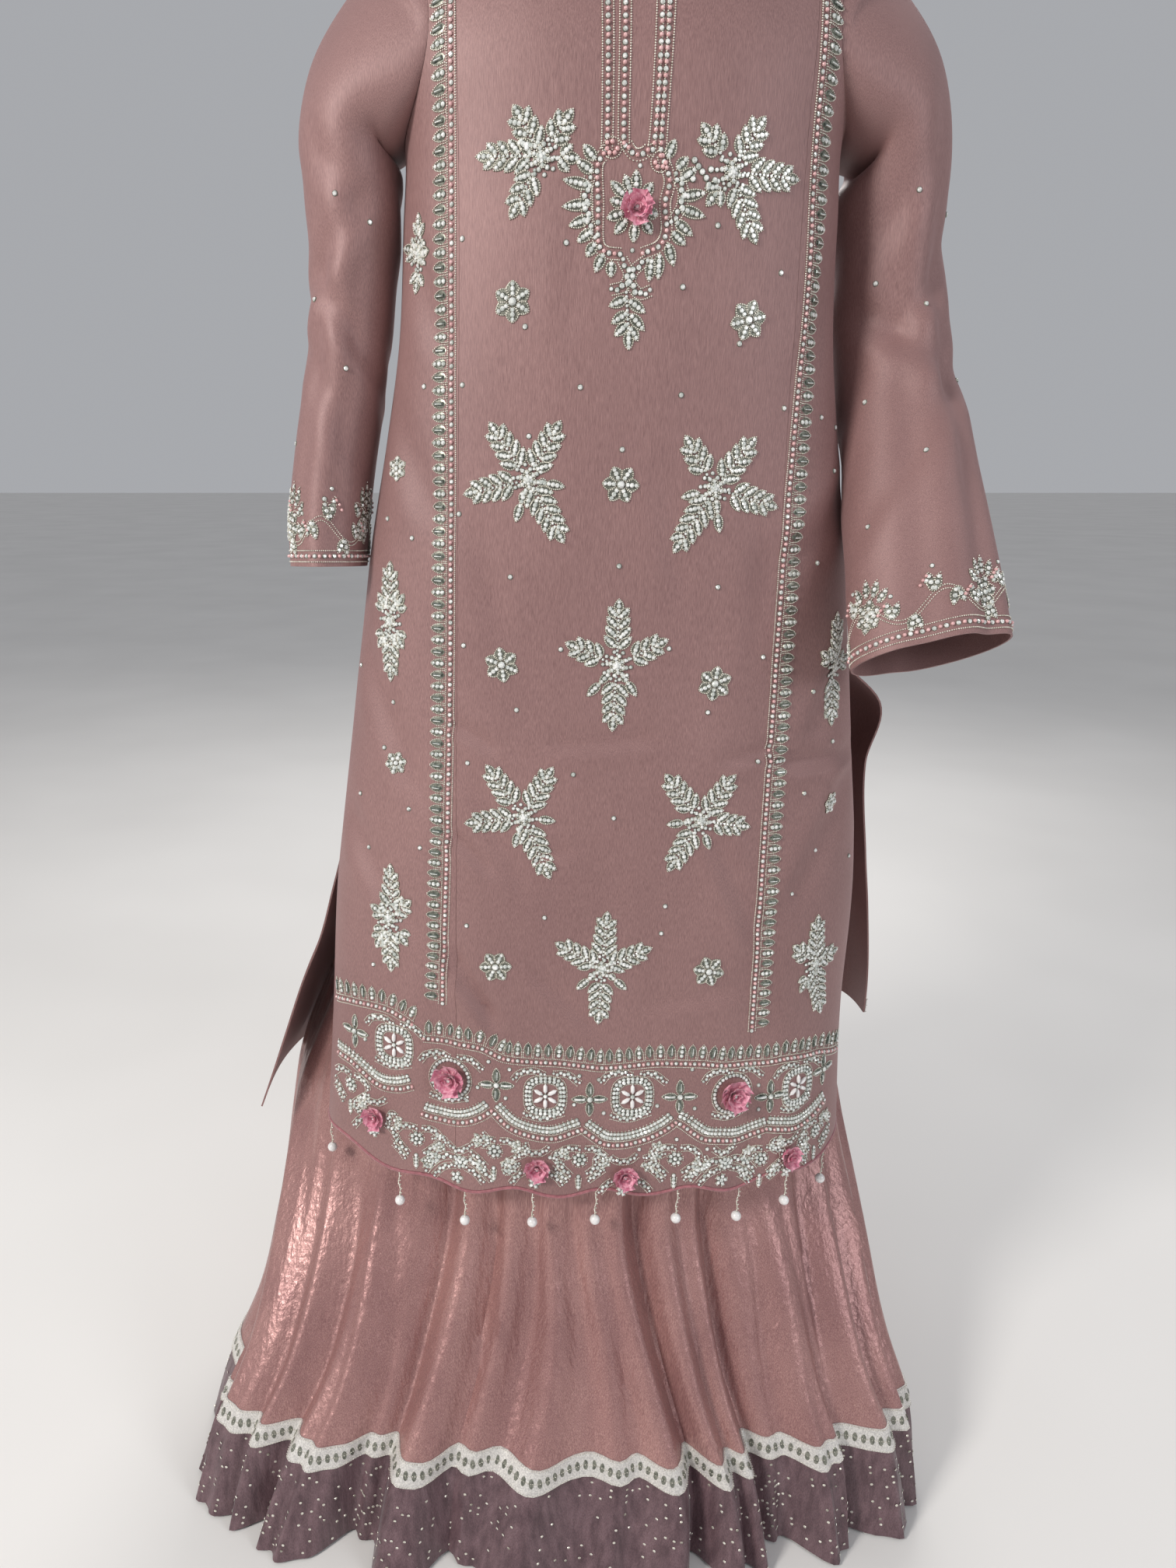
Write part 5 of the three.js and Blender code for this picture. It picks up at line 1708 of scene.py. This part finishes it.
# The pendant below the neck: a rosette in a frame of bands and leaves, with a spray below
PENDANT_MIDDLE = (818, 268)
PENDANT_ROSE_RADIUS = 12.5
PENDANT_RAYS = [
    (818, 218), (839, 235), (803, 225), (785, 233), (784, 257),
    (780, 281), (790, 301), (814, 312), (838, 301), (846, 277),
]
PENDANT_BANDS = [
    [(781, 168), (777, 196), (768, 214), (769, 262), (769, 310), (778, 324), (797, 327)],
    [(851, 168), (852, 200), (861, 232), (855, 262), (857, 296), (848, 316), (826, 326)],
    [(802, 168), (806, 186), (817, 199), (833, 193), (843, 168)],
]
# How far each band's start at the yoke lies in X from its first pixel, and the last band's end
PENDANT_BAND_STARTS = (-3, 3, -2)
PENDANT_BAND_END = 2
PENDANT_BULBS = [(787, 190), (849, 208)]
PENDANT_SINGLES = [(823, 213), (813, 322)]
PENDANT_LEAVES = [
    ((766, 206), (750, 186)), ((763, 222), (741, 206)), ((762, 240), (724, 231)), ((760, 262), (723, 266)),
    ((760, 280), (731, 291)), ((762, 296), (742, 311)), ((766, 312), (754, 330)), ((776, 326), (765, 350)),
    ((786, 336), (785, 357)), ((858, 204), (868, 179)), ((870, 218), (885, 202)), ((874, 232), (896, 216)),
    ((874, 254), (908, 248)), ((874, 268), (906, 279)), ((868, 284), (890, 303)), ((864, 298), (881, 315)),
    ((858, 312), (866, 342)), ((848, 326), (846, 359)), ((838, 332), (834, 362)),
]
PENDANT_STROKES = [
    [(758, 228), (753, 255), (757, 286), (764, 306)],
    [(868, 224), (878, 244), (876, 266), (864, 286)],
    [(800, 334), (808, 352), (802, 368), (786, 373)],
    [(832, 334), (815, 348), (811, 364), (822, 378), (836, 374)],
]
PENDANT_TAIL = [
    ((806, 384), (783, 394)), ((808, 386), (829, 402)), ((807, 402), (786, 416)), ((810, 404), (828, 425)),
    ((807, 416), (790, 432)), ((809, 420), (820, 438)), ((808, 426), (808, 450)),
]
PENDANT_STEM = [(805, 376), (808, 428)]
YOKE_TOP = 100


def pendant():
    work = Needlework("pendant", front_surface)
    patch, rays = front_patch(work, PENDANT_MIDDLE, *PENDANT_RAYS)
    for tip in rays:
        run = tip / np.linalg.norm(tip)
        leaf(patch, run * PENDANT_ROSE_RADIUS * 0.8, tip, 7.6)
    rosette(patch, MIDDLE, PENDANT_ROSE_RADIUS)
    for pixels, aside in zip(PENDANT_BANDS, PENDANT_BAND_STARTS):
        places = front_places(pixels)
        path = np.concatenate([[(places[0, 0] + aside, YOKE_TOP)], places])
        if pixels is PENDANT_BANDS[-1]:
            path = np.concatenate([path, [(places[-1, 0] + PENDANT_BAND_END, YOKE_TOP)]])
        pearl_row(Strip(work, path), 4.2, 4.4)
    for pixel in PENDANT_BULBS:
        bulb, _ = front_patch(work, pixel)
        for angle in (10, 60, 120, 170, 270):
            bulb.put("pink", ray(angle, 4.0), (1.9, 1.9, 1.9), lift=1.0)
        bead_line(bulb, circle(24) * 7.2, True)
    for base, tip in PENDANT_LEAVES + PENDANT_TAIL:
        places = patch.flat(front_places([base, tip]))
        leaf(patch, places[0], places[1], 7.8)
    for pixels in PENDANT_STROKES:
        stroke(patch, patch.flat(front_places(pixels)), 2.4)
    stone_line(patch, patch.flat(front_places(PENDANT_STEM)), 1.3, 3.4, 0.6)
    scatter(work, front_places(PENDANT_SINGLES), 1.7)
    neckline()
    work.make()


NECK_ROW_DROP = 9
NECK_ARCH_HEIGHT = 11


def neckline():
    """A row of beads and arches that follows the neck, front and back."""
    work = Needlework("neckline_front", front_surface)
    x = NECK_HALF_WIDTH * 0.97 * np.sin(np.linspace(-QUARTER, QUARTER, 25))
    wider = 1 + NECK_ROW_DROP / NECK_HALF_WIDTH
    strip = Strip(work, np.stack([x * wider, neck_top(x, NECK_FRONT_DEPTH) + NECK_ROW_DROP], -1))
    pearl_row(strip)
    arches(strip, 1, NECK_ARCH_HEIGHT)
    work.make()
    behind = Needlework("neckline_back", back_surface, -1)
    strip = Strip(behind, np.stack([x * wider, neck_top(x, NECK_BACK_DEPTH) + NECK_ROW_DROP], -1))
    pearl_row(strip)
    behind.make()


def back_surface(x, drop):
    return cloth_point("back", angle_at("back", x, drop), drop)


# Hem border, placed by pixels: the upper row, the swags, the medallions and what hangs under them
HEM_ROWS = [
    [(434, 1281), (448, 1285), (473, 1291), (498, 1298), (518, 1309), (530, 1317)],
    [
        (545, 1335), (568, 1337), (588, 1342), (618, 1348),
        (647, 1361), (681, 1365), (720, 1367), (754, 1371),
        (775, 1373), (807, 1371), (850, 1367), (898, 1368),
        (926, 1370), (952, 1368), (980, 1366), (1010, 1361),
        (1036, 1357), (1055, 1352), (1076, 1346),
    ],
]
SWAGS = [
    [(436, 1352), (451, 1363), (466, 1377), (482, 1391), (496, 1398), (514, 1400), (530, 1397)],
    [(543, 1432), (554, 1436), (579, 1442), (600, 1443), (620, 1436), (632, 1428)],
    [(632, 1428), (654, 1449), (681, 1460), (711, 1464), (737, 1456), (748, 1452)],
    [(748, 1452), (762, 1462), (777, 1471), (803, 1472), (831, 1465), (854, 1454), (869, 1443)],
    [
        (869, 1443), (879, 1448), (891, 1457), (906, 1465),
        (926, 1466), (946, 1465), (967, 1457), (985, 1451),
    ],
    [(985, 1451), (1002, 1452), (1019, 1451), (1034, 1443), (1048, 1430), (1060, 1414)],
]
PEARL_MEDALLIONS = [(507, 1343), (701, 1409), (813, 1410), (1025, 1396)]
ROSETTE_MEDALLIONS = [(579, 1386), (941, 1406)]
CROSSES = [(457, 1325), (638, 1395), (758, 1413), (874, 1410), (990, 1409), (1058, 1374)]
SMALL_ROSETTES = [(483, 1435), (690, 1501), (803, 1512), (1013, 1486)]
SPRAYS = [(592, 1494), (932, 1495)]
LOBES = [(452, 1396), (536, 1466), (636, 1482), (745, 1493), (868, 1492), (978, 1492), (1048, 1456)]
HEM_SINGLES = [
    (628, 1365), (650, 1412), (655, 1375), (738, 1420),
    (745, 1383), (770, 1388), (776, 1431), (845, 1422),
    (890, 1375), (893, 1425), (975, 1395), (975, 1426),
    (600, 1415), (560, 1360), (480, 1305), (470, 1336),
    (480, 1378), (614, 1398), (470, 1408), (707, 1488),
    (822, 1478), (870, 1465), (909, 1477), (976, 1461),
]
HEM_CURLS = [
    (463, 1420), (508, 1440), (565, 1470), (618, 1466),
    (655, 1498), (722, 1486), (775, 1492), (835, 1496),
    (900, 1496), (962, 1482), (1000, 1470), (1033, 1466),
    (552, 1492), (668, 1476), (846, 1478), (1060, 1436),
]
CROSS_REACH = 17.5
PEARL_MEDALLION_RADIUS = 18.5
ROSETTE_MEDALLION_RADIUS = 16.5
HEM_ROSE_RADIUS = 12.5
HEM_ARCH_HEIGHT = 15
HEM_ARCH_PITCH = 10
HEM_SINGLE_RADIUS = 2.0

# Strokes round the hem's motifs: a crystal's radius, then the places on the stroke
MEDALLION_STROKES = [
    (2.0, (-31, -16), (-25, -23), (-12, -26), (-1, -22)),
    (2.0, (8, -23), (21, -23), (33, -14)),
    (2.0, (-21, 19), (-3, 23), (18, 17)),
]
LOBE_CURLS = [
    (2.0, (-22, -6), (-16, -12), (-8, -14), (0, -13)),
    (2.0, (6, -13), (14, -13), (22, -8), (24, -3)),
]
LOBE_LEAVES = [
    (2.1, (-24, 2), (-17, 7), (-9, 15)),
    (1.9, (-24, 9), (-17, 15), (-12, 21)),
    (2.1, (24, 2), (16, 7), (8, 13)),
    (1.9, (24, 9), (17, 14), (9, 20)),
]
ROSETTE_CURL = [(2.0, (-14, -20), (-8, -16), (-2, -15), (5, -16), (12, -21))]
ROSETTE_LEAVES = [
    (2.0, (-13, 5), (-19, 9), (-25, 17)),
    (2.0, (12, 5), (19, 9), (26, 17)),
]
SPRAY_STROKES = [
    (2.3, (-2, -2), (-13, -4), (-27, 3), (-37, 14)),
    (2.0, (-6, 5), (-18, 9), (-28, 19)),
    (2.3, (2, -2), (12, -3), (24, 5), (33, 15)),
    (2.0, (6, 5), (15, 9), (24, 18)),
    (2.0, (-13, -17), (-3, -11), (10, -18)),
]


def swag(work, pixels):
    strip = Strip(work, front_places(pixels))
    pearl_row(strip)
    places, _ = spaced([(1, 0), (strip.length - 1, 0)], 4.4)
    for level, radius in ((-7.2, 2.1), (-11.2, 1.8)):
        stones(strip, places + (0, level), radius, lift=0.2)
    for a, _ in places[:-1]:
        bead_line(strip, [(a + 2.2, -ROW_HALF - ARCH_GAP), (a + 2.2, -12)])
        strip.put("silver", [(a, -14)], (BEAD, BEAD, BEAD), lift=0.5)


def hem_lobe(patch):
    """Curls over a cluster, with leafy strokes down to the scallop's tip."""
    strokes(patch, LOBE_CURLS)
    cluster(patch, np.array((0, -2)), 8)
    strokes(patch, LOBE_LEAVES)
    stone_line(patch, [(-1, 16), (-1, 27)], 2.0, 4.2)
    bead_line(patch, [(-4, 18), (-3, 27), (-1, 30), (1, 27), (2, 18)])


def hem_rosette(patch):
    strokes(patch, ROSETTE_CURL)
    rosette(patch, MIDDLE, HEM_ROSE_RADIUS)
    cluster(patch, np.array((-2, 16)), 6, 5)
    strokes(patch, ROSETTE_LEAVES)


def hem_spray(patch):
    strokes(patch, SPRAY_STROKES)
    cluster(patch, MIDDLE, 7.5)
    cluster(patch, np.array((-4, 17)), 6.5, 5)


def hem_curl(patch, turn):
    """A small curl of crystals that fills the cloth between larger motifs."""
    stroke(patch, [ray(turn, 8), ray(turn + 50, 7), ray(turn + 110, 7.5), ray(turn + 160, 5)], 1.7)
    stones(patch, MIDDLE, 2.0, lift=0.3)
    for angle in (turn + 200, turn + 250, turn + 300):
        leaf(patch, ray(angle, 2.5), ray(angle, 9), 4.6)


def hem_border():
    upper = Needlework("hem_upper", front_surface)
    for pixels in HEM_ROWS:
        strip = Strip(upper, front_places(pixels))
        pearl_row(strip)
        arches(strip, -1, HEM_ARCH_HEIGHT, HEM_ARCH_PITCH, 0)
    for pixels, medallion, radius in (
        (PEARL_MEDALLIONS, pearl_medallion, PEARL_MEDALLION_RADIUS),
        (ROSETTE_MEDALLIONS, rosette_medallion, ROSETTE_MEDALLION_RADIUS),
    ):
        for pixel in pixels:
            patch, _ = front_patch(upper, pixel)
            medallion(patch, MIDDLE, radius)
            strokes(patch, MEDALLION_STROKES)
    for pixel in CROSSES:
        patch, _ = front_patch(upper, pixel)
        cross_motif(patch, MIDDLE, CROSS_REACH)
    upper.make()
    lower = Needlework("hem_lower", front_surface)
    for pixels in SWAGS:
        swag(lower, pixels)
    for pixels, motif in ((LOBES, hem_lobe), (SPRAYS, hem_spray), (SMALL_ROSETTES, hem_rosette)):
        for pixel in pixels:
            patch, _ = front_patch(lower, pixel)
            motif(patch)
    for i, pixel in enumerate(HEM_CURLS):
        patch, _ = front_patch(lower, pixel)
        hem_curl(patch, 60 + 75 * i)
    scatter(lower, front_places(HEM_SINGLES), HEM_SINGLE_RADIUS)
    lower.make()


# Sleeves: loose crystals and the worked cuffs

def grid_point(grid, column, row, closed):
    """Points of the cloth between a grid's own, by column and row."""
    columns = grid.shape[1]
    row = np.clip(np.asarray(row, float), 0, grid.shape[0] - 1 - 0.001)
    c, r = column.astype(int), row.astype(int)
    s, t = (column - c)[..., None], (row - r)[..., None]
    after = (c + 1) % columns if closed else np.minimum(c + 1, columns - 1)
    c = c % columns
    return mix(mix(grid[r, c], grid[r, after], s), mix(grid[r + 1, c], grid[r + 1, after], s), t)


def sleeve_surface(side):
    def surface(column, row):
        column = np.mod(np.asarray(column, float), SLEEVE_RING)
        return grid_point(sleeve_points[side], column, row, True)

    return surface


def sleeve_place(side, pixel):
    """The column and row of the sleeve's visible side nearest to a pixel."""
    grid = sleeve_points[side]
    seen = np.sum(sleeve_normals[side] * (EYE - grid), -1) > 0
    apart = np.linalg.norm(project(grid) - pixel, axis=-1)
    row, column = np.unravel_index(np.argmin(np.where(seen, apart, np.inf)), apart.shape)
    return np.array((column, row), float)


SLEEVE_SINGLES = {
    "left": [(476, 287), (405, 384), (446, 471), (381, 571), (418, 643), (430, 250)],
    "right": [
        (1183, 242), (1242, 284), (1127, 363), (1191, 388), (1246, 485), (1112, 515), (1191, 580),
        (1116, 677), (1192, 750),
    ],
}
HIDDEN_SINGLES = [(75, 26), (98, 41), (72, 56), (100, 70), (76, 84), (95, 19)]
CUFF_FLOWERS = {"left": (14, 50, 86), "right": (16, 52, 88)}
CUFF_ROW_RISE = 6
VINE_RISE = 24
VINE_SWING = 8
VINE_WAVES = 5
VINE_LEAVES = 20


def vine_point(share, length):
    """The vine's places at shares of its length round the cuff."""
    return np.stack([share * length, -VINE_RISE - VINE_SWING * np.sin(share * VINE_WAVES * 2 * np.pi)], -1)


def cuff(work, side):
    """A pearl row at the edge, and a vine with leaves and flowers over it, all round."""
    columns = np.linspace(0, SLEEVE_RING, 41)
    strip = Strip(work, np.stack([columns, np.full(41, SLEEVE_ROWS - 0.5)], -1))
    pearl_row(strip, level=-CUFF_ROW_RISE, spare=2)
    vine = vine_point(np.linspace(0, 1, 161), strip.length)
    bead_line(strip, vine)
    bead_line(strip, beside(vine, 2.4))
    for i in range(VINE_LEAVES):
        here = vine_point((i + 0.5) / VINE_LEAVES, strip.length)
        up = -1 if i % 2 else 1
        leaf(strip, here, here + (4, up * 12), 6.8)
        leaf(strip, here, here + (-6, up * 10), 6.4)
        if i % 2:
            for ahead, beyond in ((8, 8), (10.5, 5.5), (5, 10)):
                strip.put("pink", here + (ahead, up * beyond), (1.6, 1.6, 1.6), lift=0.9)
            stones(strip, here + (0, up * 15), 1.8)
    for column in CUFF_FLOWERS[side]:
        here = np.array((column / SLEEVE_RING * strip.length, -VINE_RISE - 2.0))
        flower(strip, here, 11.5, turn=12)
        for angle in (-145, -118, -90, -62, -35):
            leaf(strip, here + ray(angle, 11.5), here + ray(angle, 22), 6)


def sleeve_embroidery():
    for side, sign in SIDE_SIGN.items():
        work = Needlework(f"sleeve_{side}", sleeve_surface(side), -sign)
        places = [sleeve_place(side, pixel) for pixel in SLEEVE_SINGLES[side]] + HIDDEN_SINGLES
        scatter(work, places, SINGLE_RADIUS)
        cuff(work, side)
        work.make()


BACK_CRYSTALS = [
    (x + 35 * (row % 2), drop) for row, drop in enumerate(range(90, 1080, 90)) for x in range(-140, 141, 70)
]


def back_embroidery():
    work = Needlework("back", back_surface, -1)
    scatter(work, BACK_CRYSTALS, SINGLE_RADIUS)
    work.make()


side_bands()
front_motifs()
pendant()
hem_border()
sleeve_embroidery()
back_embroidery()


# Hem edging and pearl drops

EDGING_SIDES = 10
HEM_ROLL = 1.9
STRAND_BEAD = 0.85
STRAND_PITCH = 1.7
STRAND_SWAY = 0.9


def tube(name, path, radius, material):
    """A round roll of cloth along a path, closed at its ends."""
    run = unit(np.gradient(path, axis=0))
    side = unit(np.cross(run, np.array((0, 0, 1.0))))
    up = np.cross(side, run)
    rings = []
    for c in range(EDGING_SIDES):
        turn = c * 2 * math.pi / EDGING_SIDES
        rings.append(path + side * math.cos(turn) * radius + up * math.sin(turn) * radius)
    points = np.stack(rings, 1)
    faces = ring_faces(len(path), EDGING_SIDES)
    last = (len(path) - 1) * EDGING_SIDES
    faces.append(tuple(range(EDGING_SIDES)))
    faces.append(tuple(last + c for c in reversed(range(EDGING_SIDES))))
    piece = make_mesh(name, points.reshape(-1, 3), faces, material, 60)
    face_out(piece)
    return piece


def placed_shapes(name, shape, centres, size, material):
    """One mesh of the same round shape at each centre."""
    corners, triangles = shape
    points = centres[:, None, :] + corners[None] * size
    faces = repeated(triangles, len(centres), len(corners))
    return make_mesh(name, points.reshape(-1, 3), faces.tolist(), material, ROUND_SHARP)


def hem_edging():
    points, normals = [], []
    panels = ((left_points, left_normals), (centre_points, centre_normals), (right_points, right_normals))
    for panel, directions in panels:
        points.append(panel[-1])
        normals.append(directions[-1])
    path, out = np.concatenate(points), np.concatenate(normals)
    apart = np.linalg.norm(np.diff(path, axis=0), axis=1)
    keep = np.concatenate([[True], apart > 1])
    path, out = path[keep], out[keep]
    roll = path - out * TUNIC_WALL / 2 - (0, 0, HEM_EDGING_GAP + HEM_ROLL)
    edging = tube("hem_edging", roll, HEM_ROLL, ROSE_CLOTH)
    dress(edging, "pink_bead", "kameez_hem_drops")
    beads, pearls = [], []
    for k, x in enumerate(DROP_PLACES):
        root = np.array([np.interp(x, roll[:, 0], roll[:, i]) for i in range(3)])
        root[2] -= HEM_ROLL
        count = int(DROP_STRAND / STRAND_PITCH)
        for i in range(count + 1):
            share = i / count
            sway = STRAND_SWAY * math.sin(share * 9 + k) * math.sin(math.pi * share)
            beads.append(root + (sway, 0.3 * sway, -share * DROP_STRAND))
            if i % 3 == 0:
                beads.append(root + (sway + 1.3, 0.2, -share * DROP_STRAND))
        pearls.append(root - (0, 0, DROP_STRAND + PEARL_RADIUS))
    beads, pearls = np.array(beads), np.array(pearls)
    strands = placed_shapes("drop_strands", STRAND_SHAPE, beads, STRAND_BEAD, SILVER)
    dress(strands, "silver_bead")
    drops = placed_shapes("drop_pearls", ball(16, 11), pearls, PEARL_RADIUS, PEARL)
    dress(drops, "pearl")


hem_edging()


# Laces and sequins

LACE_HOLE_PITCH = 8.5
LACE_HOLE_HALF = 4.6
LACE_BEAD = 0.7
LACE_BEAD_PITCH = 2.4
LACE_BEAD_EDGE = 0.15
BACK_LACE = (slice(-4, None), slice(5, None))


def lace_ribbon(name, grid, directions, closed, node):
    """A ribbon of lace over the cloth, with beaded edges and a row of dark discs: painted shade standing
    for its eyelet holes.
    """
    outer = grid + directions * (LACE_GAP + LACE_WALL)
    ribbon = wall(name, outer, directions, LACE_WALL, closed, LACE)
    dress(ribbon, "silver_lace", node)
    middle = outer.mean(0)
    if closed:
        middle = np.concatenate([middle, middle[:1]])
    reached = distances(middle)
    last = outer.shape[0] - 1

    def surface(distance, level):
        column = np.interp(distance, reached, np.arange(len(middle)))
        return grid_point(outer, column, level, closed)

    start = surface(np.array([3.0]), np.array([1.0]))
    down = surface(np.array([3.0]), np.array([1.5])) - start
    onward = surface(np.array([5.0]), np.array([1.0])) - start
    facing = -1 if np.sum(np.cross(down, onward) * directions[0, 1]) < 0 else 1
    work = Needlework(name, surface, facing)
    count = int(reached[-1] / LACE_HOLE_PITCH)
    at = (np.arange(count) + 0.5) * reached[-1] / count
    places = np.stack([at, np.full(count, last / 2)], -1)
    # Dark discs on the solid lace where its holes are: painted shade of the holes
    work.sew("hole_shade_disc", places, (LACE_HOLE_PITCH * 0.3, LACE_HOLE_HALF, 0.25), lift=0.05)
    for level in (LACE_BEAD_EDGE, last / 2, last - LACE_BEAD_EDGE):
        count = int(reached[-1] / LACE_BEAD_PITCH)
        places = np.stack([np.linspace(0, reached[-1], count), np.full(count, level)], -1)
        work.sew("silver", places, (LACE_BEAD, LACE_BEAD, LACE_BEAD), lift=0.4)
    work.make()


def laces():
    low = slice(-LACE_ROWS, None)
    lace_ribbon(
        "shalwar_lace_ribbon", skirt_points[low], skirt_normals[low], True,
        "shalwar_lace",
    )
    lace_ribbon(
        "kameez_back_lace_ribbon", back_points[BACK_LACE], back_normals[BACK_LACE], False,
        "kameez_back_lace",
    )


laces()

SEQUIN_COUNT = 900
SEQUIN_RADIUS = 1.5
SEQUIN_SEED = 7
SEQUIN_SHARP = 30


def sequins():
    chance = np.random.default_rng(SEQUIN_SEED)
    normals = ring_directions(flounce_points, True)
    rows = chance.integers(1, flounce_points.shape[0] - 1, SEQUIN_COUNT)
    columns = chance.integers(0, flounce_points.shape[1], SEQUIN_COUNT)
    centres = flounce_points[rows, columns]
    out = normals[rows, columns]
    side = unit(np.cross(out, np.array((0, 0, 1.0))))
    up = np.cross(side, out)
    corners, triangles = DISC_SHAPE
    points = centres[:, None] + out[:, None] * (0.1 + 0.3 * corners[None, :, 2:])
    offsets = corners[None, :, :1] * side[:, None] + corners[None, :, 1:2] * up[:, None]
    points = points + offsets * SEQUIN_RADIUS
    faces = repeated(triangles, SEQUIN_COUNT, len(corners)).tolist()
    piece = make_mesh("flounce_sequins", points.reshape(-1, 3), faces, SILVER, SEQUIN_SHARP)
    dress(piece, "silver_bead")


sequins()


# Stage, light and view

FLOOR_REACH = 40000
CLIP = (0.05, 200)
WORLD_COLOUR = (0.93, 0.95, 1.0, 1)
WORLD_STRENGTH = 0.42

# Each light's place, target, size, power and colour
LIGHTS = {
    "key_light": ((-2.3, -1.7, 0.9), (0, 0, -0.7), 0.8, 78, (1.0, 0.97, 0.93)),
    "fill_light": ((2.2, -2.0, 0.4), (0, 0, -0.7), 1.4, 24, (0.94, 0.96, 1.0)),
    "rear_light": ((0.6, 2.4, 1.2), (0, 0, -0.6), 1.4, 45, (1.0, 0.98, 0.96)),
}


def floor():
    corners = [(x * FLOOR_REACH, y * FLOOR_REACH, FLOOR) for x, y in ((-1, -1), (1, -1), (1, 1), (-1, 1))]
    shader = Shader("studio_floor", 0.7)
    cloudy = shader.noise(shader.place, 1.5, 2)
    shader.colour(shader.ramp(cloudy, (0.2, linear(222, 220, 217)), (0.8, linear(232, 230, 227))))
    ground = make_mesh("studio_floor", np.array(corners, float), [(0, 1, 2, 3)], shader.material, 0)


def area_light(name, place, target, size, power, colour):
    data = bpy.data.lights.new(name, "AREA")
    data.shape = "DISK"
    data.size = size
    data.energy = power
    data.color = colour
    lamp = bpy.data.objects.new(name, data)
    lamp.location = place
    direction = np.array(target) - np.array(place)
    lamp.rotation_euler = (
        math.atan2(math.hypot(direction[0], direction[1]), -direction[2]),
        0,
        math.atan2(direction[0], -direction[1]) + math.pi,
    )
    bpy.context.scene.collection.objects.link(lamp)


def studio():
    world = bpy.data.worlds.new("studio")
    world.use_nodes = True
    background = world.node_tree.nodes["Background"]
    background.inputs["Color"].default_value = WORLD_COLOUR
    background.inputs["Strength"].default_value = WORLD_STRENGTH
    bpy.context.scene.world = world
    for name, light in LIGHTS.items():
        area_light(name, *light)


def camera():
    data = bpy.data.cameras.new("photo_view")
    data.sensor_width = SENSOR
    data.lens = FOCAL * SENSOR / FRAME_SIZE[1]
    data.shift_x = (FRAME_SIZE[0] / 2 - VIEW_CENTRE[0]) / FRAME_SIZE[1]
    data.shift_y = (VIEW_CENTRE[1] - FRAME_SIZE[1] / 2) / FRAME_SIZE[1]
    data.clip_start, data.clip_end = CLIP
    view = bpy.data.objects.new("photo_view", data)
    view.location = EYE * MM
    view.rotation_euler = (QUARTER - TILT, 0, 0)
    bpy.context.scene.collection.objects.link(view)
    bpy.context.scene.camera = view


floor()
studio()
camera()
bpy.context.scene.view_settings.view_transform = "Standard"
